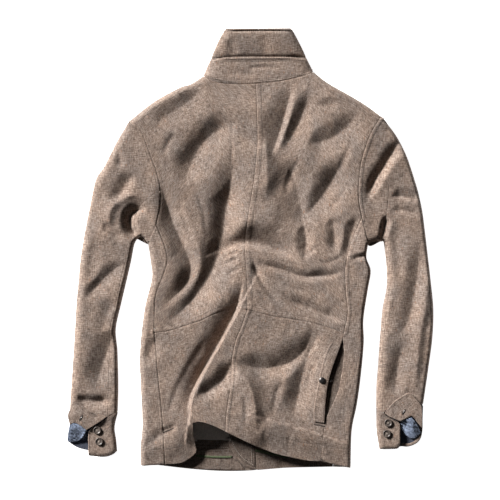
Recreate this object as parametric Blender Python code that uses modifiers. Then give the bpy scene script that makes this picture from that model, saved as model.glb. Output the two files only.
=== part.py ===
"""Stand-collar tweed field blazer, laid flat on its front with the back up.

Metres, +Z up off the surface that it lies on, +Y towards the collar, +X to the
wearer's right. The origin is at the middle of the underside of its box.

Every panel is a wall of cloth. Places on the garment are given as across and
down, in picture steps of STEP millimetres, and all the heights, widths and
thicknesses are millimetres.
"""

import bpy
import numpy as np

for old in list(bpy.data.objects):
    bpy.data.objects.remove(old, do_unlink=True)

NAME = "blazer"
STEP = 1.95            # mm for one step: the shoulders then measure 488 mm
MIDDLE_ACROSS = 250.3  # the origin, in steps
MIDDLE_DOWN = 249.9

CLOTH = 2.2            # wall of tweed with its lining
SEAM = 0.15            # each side of a seam stays this far back from it
BODY_TOP = 16.0        # the back's level between its folds
SLEEVE_TOP = 19.0      # the sleeves' level between their folds
BODY_LOW = 7.2         # no fold of the back sinks below this
SLEEVE_LOW = 5.4       # no fold of a sleeve sinks below this
RIM = 4.6              # top of the wall where it turns down at the outline
ROLL = 15.0            # width of that turn

collection = bpy.data.collections.new(NAME)
bpy.context.scene.collection.children.link(collection)


def material(name, colour, rough=0.9, metal=0.0):
    made = bpy.data.materials.new(name)
    made.use_nodes = True
    shader = made.node_tree.nodes["Principled BSDF"]
    shader.inputs["Base Color"].default_value = (*colour, 1.0)
    shader.inputs["Roughness"].default_value = rough
    shader.inputs["Metallic"].default_value = metal
    return made


TWEED_COLOUR = (0.25, 0.19, 0.15)
CHAMBRAY_COLOUR = (0.22, 0.26, 0.36)
HORN_COLOUR = (0.05, 0.045, 0.04)

# Curves.


def mm(points):
    """Places in steps, across and down, as millimetres from the origin."""
    places = np.array(points, float)
    x = (places[:, 0] - MIDDLE_ACROSS) * STEP
    y = (MIDDLE_DOWN - places[:, 1]) * STEP
    return np.stack([x, y], 1)


def smooth(points, pieces=8):
    """A smooth line through the points, as a fine polyline."""
    p = np.array(points, float)
    ends = np.vstack([2 * p[0] - p[1], p, 2 * p[-1] - p[-2]])
    t = np.linspace(0, 1, pieces, endpoint=False)[:, None]
    runs = []
    for i in range(len(p) - 1):
        a, b, c, d = ends[i:i + 4]
        runs.append(
            b + 0.5 * t * ((c - a)
                           + t * (2 * a - 5 * b + 4 * c - d)
                           + t * t * (3 * b - a - 3 * c + d))
        )
    runs.append(p[-1:])
    return np.vstack(runs)


def along(line, shares):
    """Points of a polyline at shares of its length."""
    steps = np.linalg.norm(np.diff(line, axis=0), axis=1)
    run = np.concatenate([[0.0], np.cumsum(steps)])
    want = np.asarray(shares, float) * run[-1]
    return np.stack([np.interp(want, run, line[:, k]) for k in range(line.shape[1])], 1)


def ease(t):
    t = np.clip(t, 0.0, 1.0)
    return t * t * (3 - 2 * t)


def away(x, y, line):
    """Distance of each place from a polyline, the side, and how far along."""
    a, b = line[:-1], line[1:]
    ab = b - a
    lengths = np.linalg.norm(ab, axis=1)
    starts = np.concatenate([[0.0], np.cumsum(lengths)[:-1]])
    best = np.full(x.shape, 1e9)
    side = np.zeros(x.shape)
    share = np.zeros(x.shape)
    for i in range(len(a)):
        vx = x - a[i, 0]
        vy = y - a[i, 1]
        t = np.clip((vx * ab[i, 0] + vy * ab[i, 1]) / lengths[i] ** 2, 0, 1)
        d = np.hypot(vx - t * ab[i, 0], vy - t * ab[i, 1])
        near = d < best
        best = np.where(near, d, best)
        side = np.where(near, ab[i, 0] * vy - ab[i, 1] * vx, side)
        share = np.where(near, (starts[i] + t * lengths[i]) / lengths.sum(), share)
    return best, side, share


# Outline and seams, in steps (across, down).

NECK_SEAM = [(203, 76), (208, 79), (220, 83), (235, 84.5), (256, 84), (280, 81.5), (300, 77), (314, 72)]
SHOULDER_LEFT = [(131, 119.3), (153, 102), (178.6, 87.7), (190, 84), (203, 76)]
SHOULDER_RIGHT = [(314, 72), (328.4, 83), (350.8, 95.7), (366, 105), (381, 116)]
ARMHOLE_LEFT = [(131, 119.3), (141, 131), (151, 156), (158, 176), (160.5, 190),
                (159.8, 208), (156.4, 224)]
UNDERARM_LEFT = [(156.4, 224), (152.5, 236), (148, 244)]
ARMHOLE_RIGHT = [(381, 116), (369.5, 136), (361, 162), (358, 187.6), (358.6, 204), (361.5, 218)]
UNDERARM_RIGHT = [(361.5, 218), (365, 232), (368, 245.5)]
SIDE_LEFT = [(148, 244), (150.5, 262), (151.7, 278), (145, 306), (141, 335), (139.3, 360),
             (140.3, 382.7), (142, 424), (140.3, 446), (140.3, 466)]
SIDE_RIGHT = [(368, 245.5), (366.7, 258), (371, 271), (368, 290), (363.6, 320), (364, 343),
              (361, 376), (357, 405), (352, 430.5), (350.8, 468)]
CENTRE_BACK = [(256, 84), (257.5, 130), (257, 150), (254, 180), (250, 205), (247, 225),
               (245, 250), (247, 279), (247.5, 309.6)]
CENTRE_SKIRT = [(247.5, 309.6), (241, 328), (236, 340), (232, 360), (231, 383), (227, 410), (225.6, 430)]
WAIST_LEFT = [(154.5, 332.5), (170.6, 330), (186, 325), (201, 320), (215, 313.4), (236.4, 306.5),
              (247.5, 309.6)]
WAIST_RIGHT = [(247.5, 309.6), (260, 312.6), (273, 316), (306, 321), (331, 328), (343.7, 332.8)]
PANEL_LEFT_UPPER = [(156.4, 224), (164.5, 245), (167.5, 260.6), (163, 276), (155.7, 297), (154.5, 332.5)]
PANEL_LEFT_LOWER = [(154.5, 332.5), (155.7, 345.6), (159, 383), (161, 399.5), (163.4, 429), (165, 464)]
PANEL_RIGHT_UPPER = [(361.5, 218), (353, 237), (345.7, 263), (345.3, 288), (347.4, 312), (343.7, 332.8)]
WELT_EDGE = [(343.7, 332.8), (340.3, 345), (331, 370.5), (327, 387), (324.6, 417), (323.9, 428),
             (320.5, 461)]
# How far the side panel stands off the welt along that edge: down, millimetres.
POCKET_GAP = [(338, 0.0), (352, 12.0), (370, 22.0), (388, 24.0), (402, 15.0), (414, 5.0), (424, 0.0)]
HEM_SIDE_LEFT = [(140.3, 466), (152, 465.8), (165, 464)]
HEM_SKIRT_LEFT = [(165, 464), (180, 463), (190, 458), (196.3, 451), (191.5, 442), (186.2, 432),
                  (187.4, 424.4)]
HEM_ARCH = [(187.4, 424.4), (199.5, 420.4), (213, 424), (225.6, 430)]
SKIRT_FOLD = [(240.5, 307.4), (232, 319), (222.5, 337), (213, 354), (204, 369), (196.3, 382),
              (190, 396), (187.4, 408), (187.4, 424.4)]
HEM_SKIRT_RIGHT = [(225.6, 430), (250.5, 442.4), (274.4, 452.7), (304.7, 459.8), (320.5, 461)]
HEM_SIDE_RIGHT = [(320.5, 461), (335, 466), (350.8, 468)]

# Folds: left and right are the widths on those hands as the route is walked,
# height is up from the cloth, sharp is 1 for a creased line and 2 for a round one.
# name, left, right, height, sharp, route
BACK_FOLDS = [
    ("shoulder dip", 8, 17, -9, 1.5, [(208, 86), (192, 99), (176, 111), (160, 119)]),
    ("left blade arch", 7, 20, -11, 1.4, [(240, 128), (225, 133), (212, 142), (204, 151), (200, 163), (190, 186)]),
    ("left long valley", 7, 27, -15, 1.3, [(237, 158), (229, 175), (225, 190), (222, 220), (219, 245), (213, 272),
                                           (206, 288), (196, 304), (183, 318), (168, 326)]),
    ("left long crest", 14, 12, 5, 2.0, [(212, 160), (204, 190), (200, 225), (196, 255), (186, 280), (166, 302)]),
    ("armhole valley", 7, 17, -12, 1.4, [(163, 196), (173, 220), (181, 240), (186, 256), (187, 268), (183, 280),
                                         (173, 292), (160, 303)]),
    ("small of back dip", 6, 24, -9, 1.5, [(236, 276), (239, 290), (240, 305)]),
    ("skirt long valley", 5, 28, -15, 1.3, [(240, 300), (233, 316), (224, 334), (214, 352), (205, 367), (196, 383),
                                            (189, 398), (186, 414)]),
    ("skirt arch", 9, 24, -12, 1.5, [(304, 320), (299, 338), (288, 350), (272, 358), (256, 361), (240, 361),
                                     (227, 352)]),
    ("skirt arch foot", 7, 14, -8, 1.5, [(226, 358), (226, 377), (219, 389), (207, 393), (196, 400)]),
    ("skirt crest", 15, 34, 10, 1.2, [(235, 360), (245, 372), (251, 386), (255, 400), (256, 414), (257, 434)]),
    ("skirt right valley", 8, 16, -9, 1.5, [(313, 323), (309, 340), (305, 356), (301, 372), (298, 390), (296, 422)]),
    ("neck valley", 6, 24, -11, 1.4, [(286, 94), (284, 108), (280, 122), (275, 138), (274, 150)]),
    ("neck thin crest", 7, 9, 7, 1.4, [(296, 86), (294, 104), (288, 122), (279, 144)]),
    ("neck right valley", 9, 15, -11, 1.5, [(307, 86), (305, 104), (300, 122), (293, 142), (285, 158)]),
    ("centre crest", 30, 26, 10, 1.2, [(267, 138), (266, 152), (265, 168), (265, 184), (263, 200)]),
    ("centre low ground", 26, 20, -6, 2.0, [(276, 160), (278, 190), (284, 215), (291, 240)]),
    ("right shoulder dip", 7, 4, -6, 1.5, [(312, 100), (325, 101), (338, 101)]),
    ("right blade arch", 6, 15, -10, 1.4, [(351, 117), (341, 130), (330, 138), (318, 141), (302, 138)]),
    ("right blade valley", 8, 18, -11, 1.4, [(336, 170), (329, 188), (321, 203), (311, 214), (303, 221)]),
    ("right blade foot", 6, 12, -9, 1.4, [(307, 222), (310, 238), (308, 256)]),
    ("right pleat", 5, 7, -9, 1.3, [(332, 220), (332, 243), (333, 262)]),
    ("right side valley", 6, 13, -10, 1.4, [(355, 226), (347, 244), (341, 262)]),
    ("hollow over waist", 28, 6, -14, 1.3, [(222, 248), (232, 245), (245, 244), (260, 244), (275, 246), (290, 252)]),
    ("lip crease", 8, 4, -7, 1.3, [(215, 266), (226, 264), (238, 257)]),
    ("waist curve crease", 9, 4, -8, 1.3, [(257, 261), (270, 265), (283, 271), (296, 277), (307, 279), (320, 277),
                                           (333, 276), (346, 270)]),
    ("waist slant crease", 5, 7, -6, 1.4, [(252, 250), (254, 266), (259, 279), (268, 291), (282, 306)]),
    ("waist long crease", 13, 5, -10, 1.4, [(281, 293), (296, 300), (310, 307), (323, 316), (336, 323), (347, 325)]),
    ("left waist crease", 6, 10, -7, 1.5, [(158, 340), (150, 354), (143, 366)]),
    ("vent pucker", 5, 8, -6, 1.5, [(176, 424), (166, 430), (160, 432)]),
    ("side pinch", 5, 5, -7, 1.5, [(347, 258), (357, 257), (370, 255)]),
]

# The back's hem is lifted in a long arch: how high over the rest, along its sharp edge.
# across, down, lift, spread to the right
HEM_LIFT = [
    (240, 306, 5, 40),
    (224, 335, 9, 60),
    (205, 368, 15, 80),
    (192, 396, 22, 100),
    (188, 422, 27, 120),
]

SLEEVE_LEFT_FOLDS = [
    ("head crease", 6, 9, -6, 1.4, [(116, 146), (119, 156), (121, 167)]),
    ("upper dip", 8, 12, -7, 1.8, [(128, 178), (120, 190), (113, 206)]),
    ("armpit hollow", 8, 12, -15, 1.6, [(136, 206), (128, 209), (123, 219), (131, 233), (141, 240)]),
    ("armpit crest", 8, 8, 4, 2.0, [(146, 197), (130, 196), (116, 203), (110, 216), (114, 232)]),
    ("outer line", 8, 10, -5, 1.8, [(102, 184), (97, 204), (95, 217), (91, 232)]),
    ("armpit slant", 6, 7, -6, 1.5, [(105, 222), (113, 231), (124, 242)]),
    ("elbow pinch", 6, 10, -7, 1.5, [(127, 264), (116, 270), (104, 280), (88, 300)]),
    ("lower slant", 9, 18, -8, 1.7, [(117, 325), (109, 347), (101, 370), (96, 392)]),
    ("cuff crease", 6, 18, -9, 1.4, [(108, 401), (99, 402), (90, 400)]),
]
SLEEVE_RIGHT_FOLDS = [
    ("head trough", 7, 18, -14, 1.3, [(404, 140), (394, 155), (384, 170), (374, 186), (368, 200), (366, 212)]),
    ("head crest", 14, 6, 5, 1.5, [(412, 148), (396, 165), (384, 180), (376, 196)]),
    ("elbow crease", 10, 5, -8, 1.5, [(390, 190), (400, 192), (418, 199)]),
    ("elbow crease low", 8, 5, -6, 1.5, [(391, 206), (402, 207), (416, 209)]),
    ("armpit hollow", 8, 7, -11, 1.6, [(384, 219), (383, 229), (381, 240)]),
    ("upper line", 7, 14, -7, 1.6, [(420, 248), (419, 270), (413, 300), (409, 322), (396, 335)]),
    ("lower line", 6, 12, -7, 1.6, [(403, 350), (398, 366), (396, 398)]),
    ("outer crest", 8, 9, 4, 1.6, [(426, 276), (423, 305), (419, 332), (417, 355), (415, 392)]),
]


def relief(x, y, folds):
    """How far the folds move the cloth up or down at each place."""
    z = np.zeros(x.shape)
    for _, left, right, height, sharp, route in folds:
        line = smooth(mm(route), 5)
        reach = 3.0 * max(left, right)
        low = line.min(0) - reach
        high = line.max(0) + reach
        near = (x > low[0]) & (x < high[0]) & (y > low[1]) & (y < high[1])
        if not near.any():
            continue
        gone, side, share = away(x[near], y[near], line)
        wide = np.where(side > 0, left, right)
        ends = ease(share / 0.2) * ease((1 - share) / 0.2)
        bank = np.exp(-((gone / wide) ** sharp))
        z[near] += height * (0.2 + 0.8 * ends) * bank
    return z


def lift(x, y):
    """The raised arch of the hem, to the right of its sharp edge."""
    table = np.array(HEM_LIFT, float)
    edge = smooth(mm(table[:, :2]), 6)
    gone, side, share = away(x, y, edge)
    rows = np.linspace(0, 1, len(table))
    up = np.interp(share, rows, table[:, 2])
    spread = np.interp(share, rows, table[:, 3])
    right = up * ease(gone / 9.0) * np.exp(-((gone / (spread * 1.7)) ** 2))
    return np.where(side > 0, right, 0.0)


def turned_down(x, y, level, low, edges, rim=RIM, roll=ROLL):
    """The cloth rolls down to the rim over its free edges, and never sinks below low."""
    z = low + np.logaddexp(0.0, (level - low) / 1.2) * 1.2
    for edge in edges:
        gone = away(x, y, edge)[0]
        t = np.clip(gone / roll, 0, 1)
        z = rim + (z - rim) * np.sqrt(1 - (1 - t) ** 2)
    return z


BODY_EDGES = [smooth(mm(line), 5) for line in (SHOULDER_LEFT, SHOULDER_RIGHT, SIDE_LEFT, SIDE_RIGHT)]


def back_height(x, y):
    level = BODY_TOP + relief(x, y, BACK_FOLDS) + lift(x, y)
    right_hem = smooth(mm([(262, 449), (300, 460), (352, 470)]), 4)
    left_hem = smooth(mm([(136, 467), (176, 466), (192, 459), (197, 451)]), 4)
    for hem, reach, drop in ((right_hem, 60.0, 9.0), (left_hem, 50.0, 9.0)):
        gone = away(x, y, hem)[0]
        level = level - drop * (1 - ease(gone / reach))
    return turned_down(x, y, level, BODY_LOW, BODY_EDGES)


# Sleeves, a row for each section from the shoulder to the cuff: the outer edge,
# the seam at the back of the arm, and the inner edge.
# outer across, down, seam across, down, inner across, down
SLEEVE_LEFT = [
    (131, 119.3, 131.2, 119.6, 131.2, 119.6),
    (119, 137, 144, 138, 144, 138),
    (104, 166, 155.4, 168, 155.4, 168),
    (95.7, 178.6, 160.3, 187, 160.3, 187),
    (91, 199, 143, 203, 156.4, 224),
    (88.6, 211, 136.5, 213, 148, 243.8),
    (86, 224, 134.5, 226, 141, 237),
    (83.2, 239, 131, 241, 134.6, 243),
    (79.7, 261.5, 125.5, 262, 130.7, 261.5),
    (78.2, 280, 121, 281, 126.2, 281),
    (76, 303, 116, 304, 120.8, 304),
    (74.6, 328, 110.5, 329, 115.5, 329),
    (73.2, 351, 109.5, 352, 117.2, 352),
    (70.9, 385, 108.5, 388, 118, 386),
    (69.4, 409.0, 107.7, 417.4, 117.4, 412.5),
]
SLEEVE_RIGHT = [
    (381, 116, 380.8, 116.4, 380.8, 116.4),
    (395.4, 134, 369.6, 136, 369.6, 136),
    (405.6, 153, 362.6, 160, 362.6, 160),
    (411.5, 169, 360.4, 176, 360.4, 176),
    (414.5, 178.6, 386, 182, 359.4, 200),
    (418.5, 192, 388, 196, 361.5, 218),
    (422.5, 210.5, 386.5, 213, 368, 245),
    (424.6, 226, 385.3, 229, 380.8, 241.6),
    (427.3, 248.7, 386.5, 252, 384.6, 246),
    (431, 280.6, 389.5, 283, 387.2, 283),
    (433.7, 309.3, 386, 309, 382.8, 309),
    (432.7, 338, 384, 338, 380.2, 338),
    (429, 366.7, 382.4, 367, 378.2, 367),
    (426.4, 385, 383.4, 388, 376.6, 388),
    (423.6, 404, 383, 412.8, 376.4, 408),
]


def sleeve_table(rows):
    table = np.array(rows, float)
    return mm(table[:, 0:2]), mm(table[:, 2:4]), mm(table[:, 4:6])


def rows_at(points, count):
    """Points on a smooth line at equal shares between its table rows."""
    fine = smooth(points, 12)
    place = np.linspace(0, len(fine) - 1, count)
    return np.stack([np.interp(place, np.arange(len(fine)), fine[:, k]) for k in range(2)], 1)


SLEEVES = {
    "left": (sleeve_table(SLEEVE_LEFT), SLEEVE_LEFT_FOLDS),
    "right": (sleeve_table(SLEEVE_RIGHT), SLEEVE_RIGHT_FOLDS),
}


def sleeve_height(side):
    (outer, _, inner), folds = SLEEVES[side]
    edges = [smooth(outer, 4), smooth(inner[5:] if side == "left" else inner[6:], 4)]

    def height(x, y):
        level = SLEEVE_TOP + relief(x, y, folds)
        return turned_down(x, y, level, SLEEVE_LOW, edges, RIM, 24.0)

    return height


# Cloth.


def coons(top, bottom, left, right, shares=None):
    """A grid of places between four edges. Rows run down, columns run to the right."""
    rows = len(left)
    cols = len(top)
    v = np.linspace(0, 1, rows)[:, None, None]
    u = np.linspace(0, 1, cols) if shares is None else np.array(shares)
    u = u[None, :, None]
    across = (1 - u) * left[:, None, :] + u * right[:, None, :]
    down = (1 - v) * top[None, :, :] + v * bottom[None, :, :]
    corners = (
        (1 - u) * (1 - v) * top[0] + u * (1 - v) * top[-1]
        + (1 - u) * v * bottom[0] + u * v * bottom[-1]
    )
    return across + down - corners


def drawn_in(grid, gap=SEAM):
    """Move the four edges of a grid inwards by the seam's share."""
    out = grid.copy()
    for pick, inward in (
        ((slice(None), 0), (slice(None), 1)),
        ((slice(None), -1), (slice(None), -2)),
        ((0, slice(None)), (1, slice(None))),
        ((-1, slice(None)), (-2, slice(None))),
    ):
        line = grid[pick]
        tangent = np.gradient(line, axis=0)
        size = np.linalg.norm(tangent, axis=1, keepdims=True)
        tangent = tangent / np.maximum(size, 1e-6)
        normal = np.stack([-tangent[:, 1], tangent[:, 0]], 1)
        inner = grid[inward] - line
        turn = np.sign((normal * inner).sum(1, keepdims=True))
        out[pick] = out[pick] + normal * turn * gap
    return out


def closed(name, outer, inner, mat):
    """One closed wall between two grids of points, given in millimetres."""
    rows, cols = outer.shape[:2]
    points = np.concatenate([outer.reshape(-1, 3), inner.reshape(-1, 3)]) * 0.001
    shift = rows * cols

    def at(r, c, layer=0):
        return layer * shift + r * cols + c

    faces = []
    for r in range(rows - 1):
        for c in range(cols - 1):
            faces.append((at(r, c), at(r + 1, c), at(r + 1, c + 1), at(r, c + 1)))
            faces.append((at(r, c, 1), at(r, c + 1, 1), at(r + 1, c + 1, 1), at(r + 1, c, 1)))
    for r in range(rows - 1):
        faces.append((at(r, 0), at(r, 0, 1), at(r + 1, 0, 1), at(r + 1, 0)))
        faces.append((at(r, cols - 1), at(r + 1, cols - 1), at(r + 1, cols - 1, 1), at(r, cols - 1, 1)))
    for c in range(cols - 1):
        faces.append((at(0, c), at(0, c + 1), at(0, c + 1, 1), at(0, c, 1)))
        faces.append((at(rows - 1, c), at(rows - 1, c, 1), at(rows - 1, c + 1, 1), at(rows - 1, c + 1)))
    mesh = bpy.data.meshes.new(name)
    mesh.from_pydata([tuple(p) for p in points], [], faces)
    mesh.validate()
    for face in mesh.polygons:
        face.use_smooth = True
    mesh.materials.append(mat)
    made = bpy.data.objects.new(name, mesh)
    collection.objects.link(made)
    return made


def panel(name, grid, height, mat, thick=CLOTH):
    """A wall of cloth over a grid of places: its top is at height, its sides are upright."""
    z = height(grid[..., 0], grid[..., 1])
    outer = np.concatenate([grid, z[..., None]], 2)
    inner = outer.copy()
    inner[..., 2] -= thick
    return closed(name, outer, inner, mat)


def spread(count, tight=0.0):
    """Shares from 0 to 1, closer together near the ends when tight is more than 0."""
    t = np.linspace(0, 1, count)
    return t - tight * np.sin(2 * np.pi * t) / (2 * np.pi)


def seam(points, count, tight=0.0):
    return along(smooth(mm(points), 10), spread(count, tight))


def ended(points, count, first=None, last=None, shares=None):
    """A smooth edge whose ends are moved to the given places."""
    line = smooth(mm(points), 10)
    if first is not None:
        line = line + (first - line[0]) * np.linspace(1, 0, len(line))[:, None]
    if last is not None:
        line = line + (last - line[-1]) * np.linspace(0, 1, len(line))[:, None]
    return along(line, spread(count) if shares is None else shares)


def joined(*runs):
    """Runs of points end to end, without the doubled joints."""
    return np.vstack([runs[0]] + [run[1:] for run in runs[1:]])


tweed_back = material("tweed_back", TWEED_COLOUR)
tweed_sleeve = material("tweed_sleeve", (0.24, 0.18, 0.145))
tweed_side = material("tweed_side", (0.23, 0.175, 0.14))
tweed_front = material("tweed_front", (0.12, 0.095, 0.075))
tweed_collar = material("tweed_collar", (0.25, 0.2, 0.16))
chambray = material("chambray", CHAMBRAY_COLOUR)
horn = material("horn", HORN_COLOUR, 0.35)
brass = material("dark_metal", (0.09, 0.08, 0.07), 0.35, 0.9)

# The back.

ARM_ROWS = 9
SIDE_ROWS = 10
HALF_COLS = 15
SKIRT_ROWS = 14
SIDE_COLS = 4

armhole_left = seam(ARMHOLE_LEFT, ARM_ROWS)
panel_left = seam(PANEL_LEFT_UPPER, SIDE_ROWS)
armhole_right = seam(ARMHOLE_RIGHT, ARM_ROWS)
panel_right = seam(PANEL_RIGHT_UPPER, SIDE_ROWS)
centre = seam(CENTRE_BACK, ARM_ROWS + SIDE_ROWS - 1)
# The skirt's long fold is one of its columns, so the waist is closer set beside it.
FOLD_COL = 9
waist_shares = np.concatenate([np.linspace(0, 0.92, FOLD_COL + 1), np.linspace(0.92, 1, HALF_COLS - FOLD_COL)[1:]])
waist_left = along(smooth(mm(WAIST_LEFT), 10), waist_shares)
waist_right = seam(WAIST_RIGHT, HALF_COLS)

neck_middle = 4
neck_left = seam(NECK_SEAM[:neck_middle + 1], 7)
neck_right = seam(NECK_SEAM[neck_middle:], 7)
top_left = joined(seam(SHOULDER_LEFT, HALF_COLS - 6, 0.3), neck_left)
top_right = joined(neck_right, seam(SHOULDER_RIGHT, HALF_COLS - 6, 0.3))

back_left = drawn_in(coons(top_left, waist_left, joined(armhole_left, panel_left), centre))
back_right = drawn_in(coons(top_right, waist_right, centre, joined(armhole_right, panel_right)))

skirt_centre = seam(CENTRE_SKIRT, SKIRT_ROWS)
skirt_left_edge = seam(PANEL_LEFT_LOWER, SKIRT_ROWS)
welt_edge = seam(WELT_EDGE, SKIRT_ROWS)
pocket_downs = MIDDLE_DOWN - welt_edge[:, 1] / STEP
pocket_gap = np.interp(pocket_downs, [row[0] for row in POCKET_GAP], [row[1] for row in POCKET_GAP])
pocket_edge = welt_edge + np.column_stack([pocket_gap, np.zeros(len(pocket_gap))])
hem_left = seam(HEM_SKIRT_LEFT, FOLD_COL + 1)
hem_arch = seam(HEM_ARCH, HALF_COLS - FOLD_COL)
fold_line = ended(SKIRT_FOLD, SKIRT_ROWS, waist_left[FOLD_COL], hem_arch[0])
hem_right = seam(HEM_SKIRT_RIGHT, HALF_COLS)
skirt_outer = coons(waist_left[:FOLD_COL + 1], hem_left, skirt_left_edge, fold_line)
skirt_inner = coons(waist_left[FOLD_COL:], hem_arch, fold_line, skirt_centre)
skirt_left = drawn_in(np.concatenate([skirt_outer, skirt_inner[:, 1:]], 1))
skirt_right = drawn_in(coons(waist_right, hem_right, skirt_centre, welt_edge))

panel("back_left", back_left, back_height, tweed_back)
panel("back_right", back_right, back_height, tweed_back)
panel("back_skirt_left", skirt_left, back_height, tweed_back)
panel("back_skirt_right", skirt_right, back_height, tweed_back)

# The sides, which wrap round the outline to lie under the back.

UNDER_WRAP = 34.0   # how far a side panel reaches in along the surface
EDGE_IN = 3.2       # where its underside begins to rest


def inward(edge, towards, gap):
    """An edge line moved sideways, towards the side given as +1 or -1."""
    tangent = np.gradient(edge, axis=0)
    tangent = tangent / np.linalg.norm(tangent, axis=1, keepdims=True)
    normal = np.stack([-tangent[:, 1], tangent[:, 0]], 1)
    turn = np.sign(normal[:, :1] * towards)
    return edge + normal * turn * gap


def wrapped(name, seam_edge, outline, far, height, mat, shares, under, flip=False):
    """A wall from a seam over the outline, then in under the garment to the far line.

    The far line lies on the surface. shares place the columns on top, from the
    seam to the outline, and under places those below, from the outline to far.
    """
    outer = []
    inner = []
    for share in shares:
        place = seam_edge + (outline - seam_edge) * share
        z = height(place[:, 0], place[:, 1])
        outer.append(np.column_stack([place, z]))
        inner.append(np.column_stack([place, z - CLOTH]))
    step = far - outline
    step = step / np.maximum(np.linalg.norm(step, axis=1, keepdims=True), 1e-6)
    rim = np.full(len(outline), 2.9)
    outer.append(np.column_stack([outline, rim]))
    inner.append(np.column_stack([outline + step * CLOTH, rim]))
    first = outline + step * EDGE_IN
    for share in under:
        flat = first + (far - first) * share
        outer.append(np.column_stack([flat, np.zeros(len(flat))]))
        inner.append(np.column_stack([flat, np.full(len(flat), 2.0)]))
    outer = np.stack(outer, 1)
    inner = np.stack(inner, 1)
    if flip:
        outer = outer[:, ::-1]
        inner = inner[:, ::-1]
    return closed(name, outer, inner, mat)


SIDE_SHARES = (0.0, 0.35, 0.65, 0.86)
SIDE_UNDER = (0.0, 0.5, 1.0)


def shortened(line, head, foot):
    """A line with its two ends moved in along it by these millimetres."""
    out = line.copy()
    for end, beside, gap in ((0, 1, head), (-1, -2, foot)):
        step = line[beside] - line[end]
        out[end] = line[end] + step / np.linalg.norm(step) * gap
    return out


side_rows = SIDE_ROWS + SKIRT_ROWS - 1
left_seam = shortened(inward(joined(panel_left, skirt_left_edge), -1, SEAM), 0.8, 0.0)
right_seam = shortened(inward(joined(panel_right, pocket_edge), 1, SEAM), 0.8, 0.0)
left_outline = shortened(seam(SIDE_LEFT, side_rows), 0.8, 0.0)
right_outline = shortened(seam(SIDE_RIGHT, side_rows), 0.8, 0.0)
left_side_seam = inward(left_outline, 1, UNDER_WRAP)
right_side_seam = inward(right_outline, -1, UNDER_WRAP)
wrapped("side_left", left_seam, left_outline, left_side_seam, back_height, tweed_side,
        SIDE_SHARES, SIDE_UNDER, flip=True)
wrapped("side_right", right_seam, right_outline, right_side_seam, back_height, tweed_side,
        SIDE_SHARES, SIDE_UNDER)

# The fronts lie flat on the surface, the right one over the left one.
FRONT_ARMHOLE_LEFT = [(131, 119.3), (143, 131), (153, 156), (160.5, 176), (164, 190),
                      (166, 210), (166.5, 228)]
FRONT_ARMHOLE_RIGHT = [(381, 116), (368, 136), (359, 162), (355, 187.6), (352.5, 204), (350.5, 226)]
LEFT_FRONT_EDGE = [(258, 84.5), (262.5, 120), (262.5, 200), (262.5, 320), (262.5, 469)]
RIGHT_FRONT_EDGE = [(249, 84.5), (226, 120), (225, 200), (224.5, 320), (224.5, 430), (226.6, 438),
                    (232, 451.6), (237.5, 460), (245, 466.6), (258, 470.6)]
FRONT_HEM_LEFT = [(158, 466.4), (191, 470), (223, 472), (252, 471.3), (262.5, 469)]
FRONT_HEM_RIGHT = [(258, 470.6), (287, 469), (333, 468.4)]

front_cols = 10
OVER_SHARES = (0.0, 0.15, 0.31, 0.4, 0.52, 0.68, 0.84, 1.0)


def beside(line, far, gap):
    """The far line of a side panel, moved on by the gap, for the front to start from."""
    step = far - line
    return far + step / np.linalg.norm(step, axis=1, keepdims=True) * gap


left_front_side = beside(left_outline, left_side_seam, 0.35)
right_front_side = beside(right_outline, right_side_seam, 0.35)
front_left_edge = joined(shortened(seam(FRONT_ARMHOLE_LEFT, ARM_ROWS + 1), 1.0, 0.0)[:-1], left_front_side)
front_right_edge = joined(shortened(seam(FRONT_ARMHOLE_RIGHT, ARM_ROWS + 1), 1.0, 0.0)[:-1], right_front_side)
front_rows = len(front_left_edge)
left_free = ended(LEFT_FRONT_EDGE, front_rows)
right_free = ended(RIGHT_FRONT_EDGE, front_rows)
front_left_top = ended(SHOULDER_LEFT + NECK_SEAM[1:5], front_cols, front_left_edge[0], left_free[0])
front_right_top = ended(NECK_SEAM[4:] + SHOULDER_RIGHT[1:], 8, right_free[0], front_right_edge[0], OVER_SHARES)
front_left_hem = ended(FRONT_HEM_LEFT, front_cols, front_left_edge[-1], left_free[-1])
front_right_hem = ended(FRONT_HEM_RIGHT, 8, right_free[-1], front_right_edge[-1], OVER_SHARES)


def flat_low(x, y):
    return np.full(np.shape(x), 2.0)


def flat_over(x, y):
    """The right front: on the surface, and up over the edge of the left front."""
    step = (282.0 - MIDDLE_ACROSS) * STEP
    return 2.0 + 2.4 * ease((step - x) / 14.0)


front_left = coons(front_left_top, front_left_hem, front_left_edge, left_free)
front_right = coons(front_right_top, front_right_hem, right_free, front_right_edge, OVER_SHARES)
panel("front_left", drawn_in(front_left, 0.1), flat_low, tweed_front, 2.0)
panel("front_right", drawn_in(front_right, 0.1), flat_over, tweed_front, 2.0)

# What shows of the facings, inside the lifted hem.
FACING_LEFT = ([(168, 450), (200, 450), (229, 450)], [(168, 466), (200, 469.5), (233, 471)])
FACING_RIGHT = ([(226.5, 428), (240, 428), (254.8, 428)], [(236, 455.5), (244, 463), (254.8, 467.5)])


def facing(name, edges, level, cols=6, rows=4):
    upper, lower = edges
    top = seam(upper, cols)
    low = seam(lower, cols)
    v = np.linspace(0, 1, rows)[:, None, None]
    grid = top[None] * (1 - v) + low[None] * v
    return panel(name, grid, lambda x, y: np.full(np.shape(x), level), tweed_front, 1.0)


facing("facing_left", FACING_LEFT, 3.3)
facing("facing_right", FACING_RIGHT, 5.7)

# The sleeves: each is a top sleeve and an under sleeve, sewn at the back of the
# arm and again underneath, where they lie flat.
SLEEVE_ROWS = 26
FORE_SEAM = 0.55
TOP_SHARES = (0.0, 0.16, 0.34, 0.53, 0.72, 0.88)
STRIP_SHARES = (0.0, 0.4, 0.8)

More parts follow.
